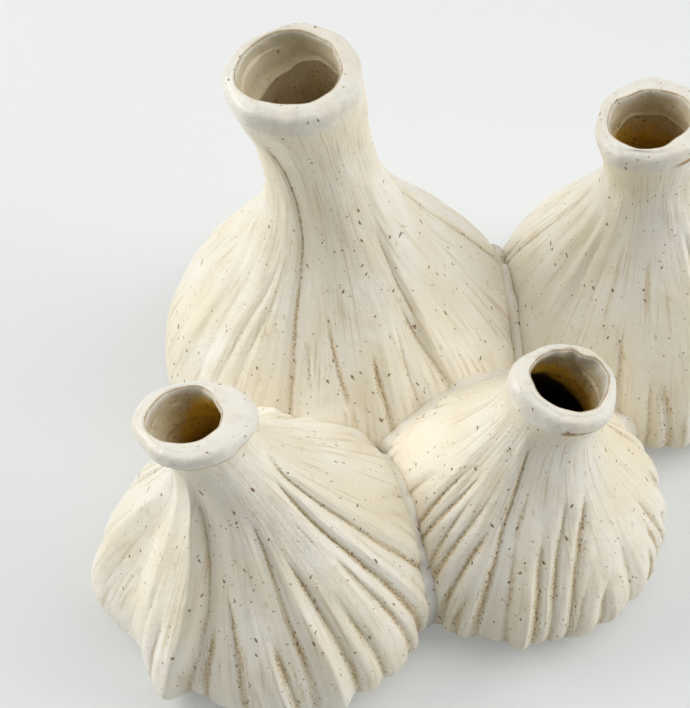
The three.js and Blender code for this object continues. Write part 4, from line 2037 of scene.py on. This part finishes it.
@dataclass(frozen=True)
class SlipFinish:
    """Glazed slip in the crevices.

    Attributes:
        white: Its colour where it was brushed over the bulbs.
        grey: Its colour low down.
        roughness: Its roughness.
        coat: The weight of its clear surface.
    """

    white: Colour = (0.84, 0.80, 0.70)
    grey: Colour = (0.60, 0.585, 0.55)
    roughness: float = 0.45
    coat: float = 0.15

    def material(self, cream: CreamGlaze) -> bpy.types.Material:
        """Builds the slip's material.

        Args:
            cream: The bulbs' glaze, which shows beside it.

        Returns:
            The material.
        """
        shader = Shader("slip_glaze")
        broken = shader.noise(shader.place, 190.0, 4.0, 31.0)
        middle = shader.stored("middle") + (broken - 0.5) * 1.2
        greying = shader.stored("grey") + (broken - 0.5) * 0.5
        colour = shader.painted(
            cream.cream,
            (middle.rise(0.3, 0.8), self.white),
            (greying.rise(0.2, 0.8), self.grey),
            (shader.speckles(GRAINS) * broken.rise(0.5, 0.7) * 0.7, cream.stain_and_shade_brown),
            (cream.specks(shader), cream.iron),
        )
        height = broken * 0.6 + shader.noise(shader.place, 800.0, 1.0) * 0.08
        return shader.finished(colour, self.roughness, height, self.coat)


# Studio

TABLE_REACH = 4000.0
SENSOR_WIDTH = 36.0


@dataclass(frozen=True)
class Lamp:
    """A soft lamp.

    Attributes:
        name: Its name.
        place: Where it hangs, in metres.
        size: Its side, in metres.
        power: Its power in watts.
    """

    name: str
    place: tuple[float, float, float]
    size: float
    power: float


@dataclass(frozen=True)
class Studio:
    """A pale table under soft light, and the camera.

    Attributes:
        table: The table's colour.
        lift: How much of that colour the camera sees whatever the shadow on it.
        dim: The strength of the light from the camera's side.
        bright: The strength of the light from the canopy over the table.
        canopy: The canopy's direction.
        lamps: The lamps.
        aim: What the camera looks at, in metres.
        eye: Where the camera stands, in metres.
        focal: Its focal length in millimetres.
    """

    table: Colour = (0.80, 0.815, 0.81)
    lift: float = 0.28
    dim: float = 0.03
    bright: float = 0.53
    canopy: tuple[float, float, float] = (0.0, 0.1, 0.995)
    lamps: tuple[Lamp, ...] = (
        Lamp("lamp_back", (-1.57, 0.42, 1.0), 1.3, 27.0),
        Lamp("lamp_right", (1.6, 0.1, 1.15), 2.0, 30.0),
        Lamp("lamp_top", (0.15, 0.35, 1.9), 1.2, 3.0),
    )
    aim: tuple[float, float, float] = (-0.0438, 0.0085, 0.055)
    eye: tuple[float, float, float] = (-0.0438, -0.67055, 0.82328)
    focal: float = 142.85

    def build(self) -> None:
        """Builds the table, the light and the camera."""
        bpy.context.scene.view_settings.view_transform = "Standard"
        self.lay_table()
        self.light_room()
        for lamp in self.lamps:
            self.hang(lamp)
        self.stand_camera()

    def light_room(self) -> None:
        """Lights the room softly from a canopy over and behind the table."""
        world = bpy.data.worlds.new("studio")
        world.use_nodes = True
        room = Graph(world.node_tree)
        towards = room.value("ShaderNodeTexCoord", output="Generated")
        facing = room.vector("DOT_PRODUCT", towards, self.canopy, output="Value")
        strength = facing.rise(0.1, 1.0) * (self.bright - self.dim) + self.dim
        background = room.node("ShaderNodeBackground", {}, {"Strength": strength})
        output = room.node("ShaderNodeOutputWorld")
        room.tree.links.new(background.outputs[0], output.inputs[0])
        bpy.context.scene.world = world

    def lay_table(self) -> None:
        """Lays the pale table, with a floor's faint texture."""
        square = [(-1, -1, 0), (1, -1, 0), (1, 1, 0), (-1, 1, 0)]
        table = mesh_object("table", np.array(square) * TABLE_REACH, [], [[0, 1, 2, 3]])
        shader = Shader("table_paint")
        tone = shader.noise(shader.place, 2.0, 1.0, 17.0)
        worn = tuple(value * 0.99 for value in self.table)
        colour = shader.painted(self.table, (tone.rise(0.3, 0.7), worn))
        paint = shader.node("ShaderNodeBsdfDiffuse", {}, {"Color": colour})
        glow = shader.node("ShaderNodeEmission", {}, {"Color": (*self.table, 1.0)})
        path = shader.node("ShaderNodeLightPath")
        seen = shader.signal(path, "Is Camera Ray")
        for ray in ("Is Glossy Ray", "Is Transmission Ray"):
            seen = seen.larger(shader.signal(path, ray))
        mix = shader.node("ShaderNodeMixShader", {}, {0: seen * self.lift})
        shader.tree.links.new(paint.outputs[0], mix.inputs[1])
        shader.tree.links.new(glow.outputs[0], mix.inputs[2])
        output = shader.node("ShaderNodeOutputMaterial")
        shader.tree.links.new(mix.outputs[0], output.inputs[0])
        table.data.materials.append(shader.material)

    def hang(self, lamp: Lamp) -> None:
        """Hangs a square area light that shines on the vase.

        Args:
            lamp: The light.
        """
        light = bpy.data.lights.new(lamp.name, "AREA")
        light.energy = lamp.power
        light.size = lamp.size
        body = bpy.data.objects.new(lamp.name, light)
        body.location = lamp.place
        body.rotation_euler = (-Vector(lamp.place)).to_track_quat("-Z", "Y").to_euler()
        bpy.context.scene.collection.objects.link(body)

    def stand_camera(self) -> None:
        """Stands the camera at the photo's viewing angle."""
        camera = bpy.data.cameras.new("camera")
        camera.lens = self.focal
        camera.sensor_width = SENSOR_WIDTH
        body = bpy.data.objects.new("camera", camera)
        body.location = self.eye
        body.rotation_euler = (Vector(self.aim) - Vector(self.eye)).to_track_quat("-Z", "Y").to_euler()
        bpy.context.scene.collection.objects.link(body)
        bpy.context.scene.camera = body


# The vase

BULBS = (
    BulbForm(
        "rear_left", (-42.7, 46.4), 52.5, 70.0, 18.0, 1.04, 154.5, 36.5, 20.4,
        (-19.0, -0.6), (0.05, -0.11), 24.0, 17.2, (-1.4, 1.2), 26.0, 0.93,
    ),
    BulbForm(
        "front_left", (-69.8, -59.5), 46.0, 61.6, 16.0, 0.91, 104.0, 9.0, 15.6,
        (-24.0, -9.3), (0.1, 0.14), 20.1, 13.3, (-3.0, 0.8), 8.0, 0.4,
    ),
    BulbForm(
        "front_right", (16.7, -33.5), 42.5, 57.0, 15.0, 1.03, 85.5, 2.5, 17.0,
        (13.9, -3.0), (0.1, -0.01), 19.6, 13.5, (1.2, 0.8), 10.0, 0.6,
    ),
    BulbForm(
        "rear_right", (70.4, 60.2), 45.5, 61.0, 16.0, 0.8, 122.0, 20.0, 17.6,
        (-4.0, -4.0), (-0.06, 0.0), 21.0, 14.2, (-1.0, -0.8), 15.0, 0.75,
    ),
)

FRONT_LEFT_FOLDS = (
    Fold(
        ((-130, 90), (-121, 76), (-115, 62), (-113.5, 50), (-115.5, 35), (-119.5, 12), (-121, 0)),
        6.5, 2.5, 16, 0.35,
    ),
    Fold(((-131, 88), (-125, 74), (-121, 60), (-120, 45), (-122, 28), (-126, 0)), -3.2, 9, 3, 0),
    Fold(((-170, 88), (-164, 70), (-159, 50), (-154, 34), (-149, 18), (-146, 0)), 8.5, 10, 9, 0.15, 26),
    Fold(((-176, 70), (-178, 50), (-176, 30), (-174, 0)), -2.5, 8, 8, 0),
    Fold(((-109, 48), (-110, 38), (-112, 25), (-113.5, 0)), 1.8, 3, 3, 0.8),
    Fold(((-105, 60), (-102, 50), (-100, 38), (-98.5, 25), (-97, 0)), 2.4, 3.5, 4.5, 0.75),
    Fold(((-97, 36), (-94, 25), (-92, 12), (-91, 0)), 1.2, 3, 3, 0.25),
    Fold(((-91.5, 62), (-89, 48), (-86.5, 32), (-84, 15), (-83, 0)), -1.5, 2.2, 2.2, 0),
    Fold(((-87, 47), (-84.5, 37), (-82.5, 25), (-80.5, 12), (-80, 0)), 2.0, 2, 3.5, 0.7),
    Fold(
        ((-74, 80), (-75.5, 68), (-77, 57), (-77, 47), (-75.5, 35), (-74.5, 22), (-73.5, 0)),
        3.6, 6, 3.5, 1,
    ),
    Fold(((-71.5, 56), (-69, 42), (-67, 28), (-65, 0)), -1.4, 3, 4, 0),
    Fold(((-67, 68), (-64.5, 57), (-62.5, 43), (-60.5, 30), (-58.5, 12), (-58, 0)), 3.6, 4, 3, 0.6),
    Fold(((-55, 52), (-52.5, 38), (-50.5, 27), (-48, 12), (-47.5, 0)), 2.4, 3, 2.5, 0.4),
    Fold(((-43, 62), (-40.5, 48), (-38, 35), (-36, 24), (-34, 0)), 3.2, 3, 3, 0.55),
    Fold(
        ((-26, 86), (-33, 76), (-35.5, 67), (-34.5, 57), (-32.5, 47), (-30, 35), (-27, 20), (-25, 0)),
        5, 4, 3, 0.9,
    ),
    Fold(
        (
            (12, 93), (0, 88.5), (-10, 84), (-17, 79.5), (-20, 70), (-19.5, 57), (-17, 44), (-13.5, 33),
            (-10, 22), (-8, 0),
        ),
        4.4, 5, 3.5, 0.6,
    ),
    Fold(((-26, 62), (-24, 48), (-22, 38), (-20, 25)), 1.8, 2.5, 2.5, 0.3),
    Fold(((-9, 60), (-4, 50), (3, 42)), 0.8, 2.4, 2.4, 0.2, 9),
    Fold(((-3, 58), (5, 50), (13, 43)), 0.9, 2.4, 2.4, 0.2, 9),
    Fold(((5, 64), (14, 53), (22, 45)), 0.7, 2.4, 2.4, 0.15, 9),
    Fold(((18, 66), (30, 55), (40, 47)), 0.7, 2.4, 2.4, 0.2, 9),
    Fold(((-140, 58), (-139, 45), (-140, 28), (-141, 0)), 1.0, 3, 2.5, 0.2),
    Fold(((-131.5, 50), (-131, 36), (-132, 18), (-133, 0)), 1.3, 3, 2.5, 0.35),
    Fold(((-180, 62), (-184, 50), (-185, 30), (-185, 0)), 1.2, 4, 4, 0.35),
)

REAR_LEFT_FOLDS = (
    Fold(
        (
            (-134, 147), (-126, 137), (-119.5, 128), (-118, 118), (-117, 108), (-115, 98), (-115, 88),
            (-114.5, 78), (-113, 66), (-111, 50), (-110, 30),
        ),
        4.4, 3, 16, 0.55,
    ),
    Fold(((-80, 150), (-80, 125), (-82, 100), (-83, 80)), 4.0, 40, 40, 0),
    Fold(((-40, 106), (-44.5, 98), (-48, 88), (-49.5, 80), (-50, 70)), 4.0, 16, 3.5, 0.3),
    Fold(((-30, 150), (-33, 125), (-40, 106)), 1.5, 14, 6, 0),
    Fold(((-103, 90), (-98.5, 80), (-94.5, 70), (-91, 58), (-87, 46), (-83, 34)), -1.6, 2, 2, 0),
    Fold(((-100, 84), (-96, 74), (-92.5, 62), (-88.5, 50)), 1.2, 1.6, 1.6, 0.5),
    Fold(((-106, 74), (-103, 64), (-101, 55)), -1.2, 1.8, 1.8, 0),
    Fold(((-108, 75), (-105, 62), (-103, 52)), 1, 3, 2, 0.3),
    Fold(((-76, 68), (-76, 56), (-75, 46), (-74, 36)), 1.8, 2.5, 3, 0.8),
    Fold(((-68, 76), (-70, 64), (-71.5, 52), (-72, 42)), -1.3, 3, 3, 0),
    Fold(((-58, 78), (-61, 66), (-63.5, 54), (-64, 44)), 2, 3, 7, 0.3),
    Fold(((-53, 80), (-54, 66), (-52, 56), (-50, 46)), 1.8, 6, 2, 0.4),
    Fold(((-47, 80), (-46, 66), (-45, 52)), -1.2, 5, 4, 0),
    Fold(((-34, 84), (-35, 68), (-33, 50), (-32, 35)), 1.0, 4, 4, 0.15),
    Fold(((-26, 86), (-25.5, 68), (-23, 50), (-21, 35)), 1.1, 4, 4, 0.15),
    Fold(((7, 90), (0, 78), (-5, 68), (-8, 58), (-10, 45), (-11, 30)), 3.2, 8, 6, 0.25),
    Fold(((9, 84), (3, 72), (-1, 60), (-2, 48)), -1.4, 3, 3, 0),
    Fold(((-16, 88), (-17, 72), (-15, 55), (-13, 38)), 1.0, 4, 4, 0.1),
    Fold(((-130, 92), (-134, 78), (-138, 64), (-139.5, 50), (-140, 35)), 1.2, 3, 3, 0.25),
    Fold(((-124, 84), (-128, 74), (-131, 62), (-132, 48), (-131, 35)), 1.0, 3, 3, 0.25),
    Fold(((-148, 90), (-151, 72), (-152, 55), (-150, 35)), 3.0, 7, 6, 0.2, 24),
    Fold(((-178, 98), (-168, 86), (-161, 70), (-158.5, 52), (-158, 35)), 1.6, 5, 5, 0.15),
    Fold(((-190, 95), (-180, 80), (-172, 62), (-170, 45)), 2.6, 6, 6, 0.1),
)

FRONT_RIGHT_FOLDS = (
    Fold(
        (
            (-119, 80), (-113, 74), (-109, 66), (-106.5, 58), (-106, 48), (-104.5, 40), (-105, 28),
            (-106, 12), (-106, 0),
        ),
        4.2, 3, 9, 0.9,
    ),
    Fold(((-110.5, 53), (-113, 46), (-116, 38), (-118.5, 26), (-120, 12), (-120, 0)), 4, 3, 3, 1),
    Fold(((-119.5, 60), (-122.5, 48), (-125.5, 38), (-127, 28)), 2.4, 3, 3, 0.6),
    Fold(((-109, 36), (-112, 24), (-113.5, 12), (-114, 0)), 2.4, 2.5, 2.5, 0.7),
    Fold(((-98, 55), (-95.5, 40), (-94.5, 25), (-94, 0)), 2.2, 3, 3, 0.4),
    Fold(((-96, 66), (-96, 56), (-97, 48)), 1.2, 3, 3, 0.5),
    Fold(((-92, 64), (-89.5, 48), (-88, 30), (-87.5, 0)), -1.4, 4, 4, 0),
    Fold(((-82, 52), (-83.5, 40), (-84, 25), (-84, 0)), 2.8, 2.5, 3, 0.7),
    Fold(((-66, 62), (-70, 52), (-74.5, 43), (-77, 33), (-78, 18), (-78, 0)), 2.8, 3, 4, 0.8),
    Fold(((-49, 62), (-55, 53), (-62, 45), (-67, 36), (-70, 25), (-71, 10), (-71, 0)), 3.0, 3, 3, 0.7),
    Fold(((-58, 42), (-62, 34), (-66, 24), (-68, 12)), 1.6, 3, 3, 0.3),
    Fold(((-50, 35), (-56, 24), (-57, 12), (-58, 0)), 2.6, 3, 3, 0.6),
    Fold(((-134, 64), (-137, 54), (-139.5, 44), (-141, 34)), 2.4, 4, 3, 0.8),
    Fold(((-146, 62), (-147, 52), (-146.5, 42), (-146, 34)), 2.0, 3, 3, 0.8),
    Fold(((-130, 58), (-131, 46), (-131, 36), (-130, 26)), 2.0, 3, 3, 0.5),
    Fold(((-157, 56), (-161, 48), (-162, 40)), 1.6, 3, 3, 0.5),
    Fold(((-172, 52), (-174, 48), (-176, 44)), 1.4, 3, 3, 0.3),
    Fold(((-140, 74), (-142, 64), (-141, 54)), 2, 6, 6, 0),
    Fold(((-92, 85), (-92, 70), (-90, 55)), 2.4, 14, 14, 0, 8),
)

REAR_RIGHT_FOLDS = (
    Fold(((-150, 95), (-150, 80), (-150, 64), (-152, 48)), 2.2, 6, 5, 0.12),
    Fold(((-144, 92), (-143, 75), (-143, 55)), -1.5, 4, 4, 0),
    Fold(((-137, 90), (-137.5, 75), (-136, 60), (-135, 45)), 2.2, 6, 5, 0.18),
    Fold(((-126, 84), (-127, 66), (-126, 50)), 2, 5, 5, 0.2),
    Fold(((-165, 95), (-168, 78), (-168, 60), (-166, 45)), 2.0, 6, 5, 0.12),
)

FOLDS = {
    "rear_left": REAR_LEFT_FOLDS + tuple(hidden_folds(11, 18.0, 168.0, 148.0)),
    "front_left": FRONT_LEFT_FOLDS + tuple(hidden_folds(12, 48.0, 164.0, 98.0)),
    "front_right": FRONT_RIGHT_FOLDS + tuple(hidden_folds(13, -42.0, 178.0, 80.0)),
    "rear_right": REAR_RIGHT_FOLDS + tuple(hidden_folds(14, -112.0, 172.0, 116.0)),
}

NOTCH = tuple(Wave(order, -0.1, 63.0) for order in range(4, 13))
LIPS = {
    "rear_left": LipForm(
        (Wave(2, 0.6, 20.0), Wave(3, 0.3, 90.0)),
        (Wave(2, 0.7, 10.0), Wave(3, 0.3, -40.0)),
        (Wave(1, 0.5, -100.0), Wave(2, 0.4, 60.0)),
        9.5, (Wave(1, 5.0, 195.0), Wave(3, 0.9, 150.0), Wave(5, 0.5, 100.0)),
        1.1, (Wave(1, 1.1, 140.0), Wave(2, 0.3, 120.0)),
        8.0, (Wave(2, 1.5, 0.0), Wave(3, 1.0, 40.0)), 21,
    ),
    "front_left": LipForm(
        (Wave(2, 0.8, -10.0), Wave(3, 0.5, 30.0)),
        (Wave(0, -0.8, 0.0), Wave(2, -0.3, 0.0), Wave(3, 0.5, 90.0)),
        (Wave(1, 0.3, -60.0), Wave(2, 0.3, 10.0)),
        9.0, (Wave(2, 1.5, 80.0),), 0.05, (),
        3.6, (Wave(1, 4.0, 80.0), Wave(3, 1.0, 20.0)), 22,
    ),
    "front_right": LipForm(
        (Wave(0, -0.8, 0.0), Wave(1, -0.9, 180.0), Wave(2, 0.5, 20.0), Wave(3, 0.4, 60.0)),
        (Wave(0, -0.4, 0.0), Wave(1, -0.5, 180.0), Wave(2, 0.5, 20.0), Wave(3, 0.4, 45.0)) + NOTCH,
        (Wave(1, 0.3, 60.0), Wave(2, 0.3, 40.0)),
        6.5, (Wave(2, 1.2, 60.0),), 0.05, (),
        4.0, (Wave(1, 3.6, 120.0), Wave(3, 1.0, 10.0)), 23,
    ),
    "rear_right": LipForm(
        (Wave(2, 0.6, 60.0), Wave(3, 0.3, 0.0)),
        (Wave(2, 0.6, 30.0), Wave(3, 0.3, 20.0)),
        (Wave(1, 0.3, 0.0), Wave(2, 0.3, 100.0)),
        7.0, (Wave(2, 1.5, 30.0),), 0.6, (Wave(1, 0.2, 150.0),),
        5.0, (Wave(1, 2.0, 120.0), Wave(3, 1.0, 0.0)), 24,
    ),
}

HOLLOWS = {
    "rear_left": Hollow(44.0, 80.0, -40.0, 0.5),
    "front_left": Hollow(5.0, 24.0, 45.0, 6.5),
    "front_right": Hollow(6.0, 9.5, 180.0, 1.6),
    "rear_right": Hollow(20.0, 45.0, 180.0, 0.6),
}

SEAMS = (
    SeamForm(
        "seam_rear_left_front_right", "rear_left", "front_right",
        ((0.0, 2.0), (40.0, 2.6), (80.0, 3.2)), -0.3, 0.0, ("front_left", "rear_right"), 31,
    ),
    SeamForm(
        "seam_rear_left_front_left", "rear_left", "front_left",
        ((0.0, 2.0), (40.0, 2.4), (80.0, 3.0)), -0.4, 0.0, ("front_right",), 32,
    ),
    SeamForm(
        "seam_front_pair", "front_left", "front_right",
        ((0.0, 3.0), (25.0, 2.6), (42.0, 1.6), (60.0, 1.4)), 0.1, 1.0, ("rear_left",), 33,
    ),
    SeamForm(
        "seam_rear_pair", "rear_left", "rear_right",
        ((0.0, 1.8), (40.0, 2.0), (80.0, 2.3)), 1.4, 0.0, ("front_right",), 34,
    ),
    SeamForm(
        "seam_right_pair", "front_right", "rear_right",
        ((0.0, 2.2), (40.0, 2.4), (80.0, 2.8)), -0.3, 0.2, ("rear_left",), 35,
    ),
)


class TulipVase:
    """The whole cluster."""

    def __init__(self) -> None:
        """Works out the flats between the bulbs."""
        self.forms = {form.name: form for form in BULBS}
        self.flats: dict[tuple[str, str], Flat] = {}
        for seam in SEAMS:
            flat = mating_flat(self.forms[seam.one], self.forms[seam.other])
            self.flats[seam.one, seam.other] = flat
            self.flats[seam.other, seam.one] = flat.turned()
        self.skins: dict[str, BVHTree] = {}

    def ends(self, seam: SeamForm) -> list[Flat]:
        """Finds the flats of other bulbs that end a seam.

        Args:
            seam: The seam.

        Returns:
            Its ends.
        """
        return [
            self.flats[bulb, other]
            for other in seam.others
            for bulb in (seam.one, seam.other)
            if (bulb, other) in self.flats
        ]

    def build(self) -> None:
        """Builds the bulbs, the lips and the seams in order."""
        cream = CreamGlaze()
        press = FoldPress("fold_press")
        glaze = cream.material()
        lip_glaze = LipGlaze().material(cream)
        slip = SlipFinish().material(cream)
        for number, form in enumerate(BULBS):
            flats = [flat for (name, _), flat in self.flats.items() if name == form.name]
            hollow = HOLLOWS[form.name]
            bulb = Bulb(form, flats, FOLDS[form.name], hollow, number + 1)
            skin = skin_of(bulb.build(press, glaze))
            Lip(form, LIPS[form.name], hollow, skin).build(lip_glaze)
            self.skins[form.name] = skin
        for seam in SEAMS:
            skins = (self.skins[seam.one], self.skins[seam.other])
            Seam(seam, self.flats[seam.one, seam.other], skins, self.ends(seam)).build(slip)


def main() -> None:
    """Loads the frame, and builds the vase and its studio."""
    logging.basicConfig(level=logging.INFO, format="%(name)s: %(message)s")
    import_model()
    TulipVase().build()
    Studio().build()


if __name__ == "__main__":
    main()
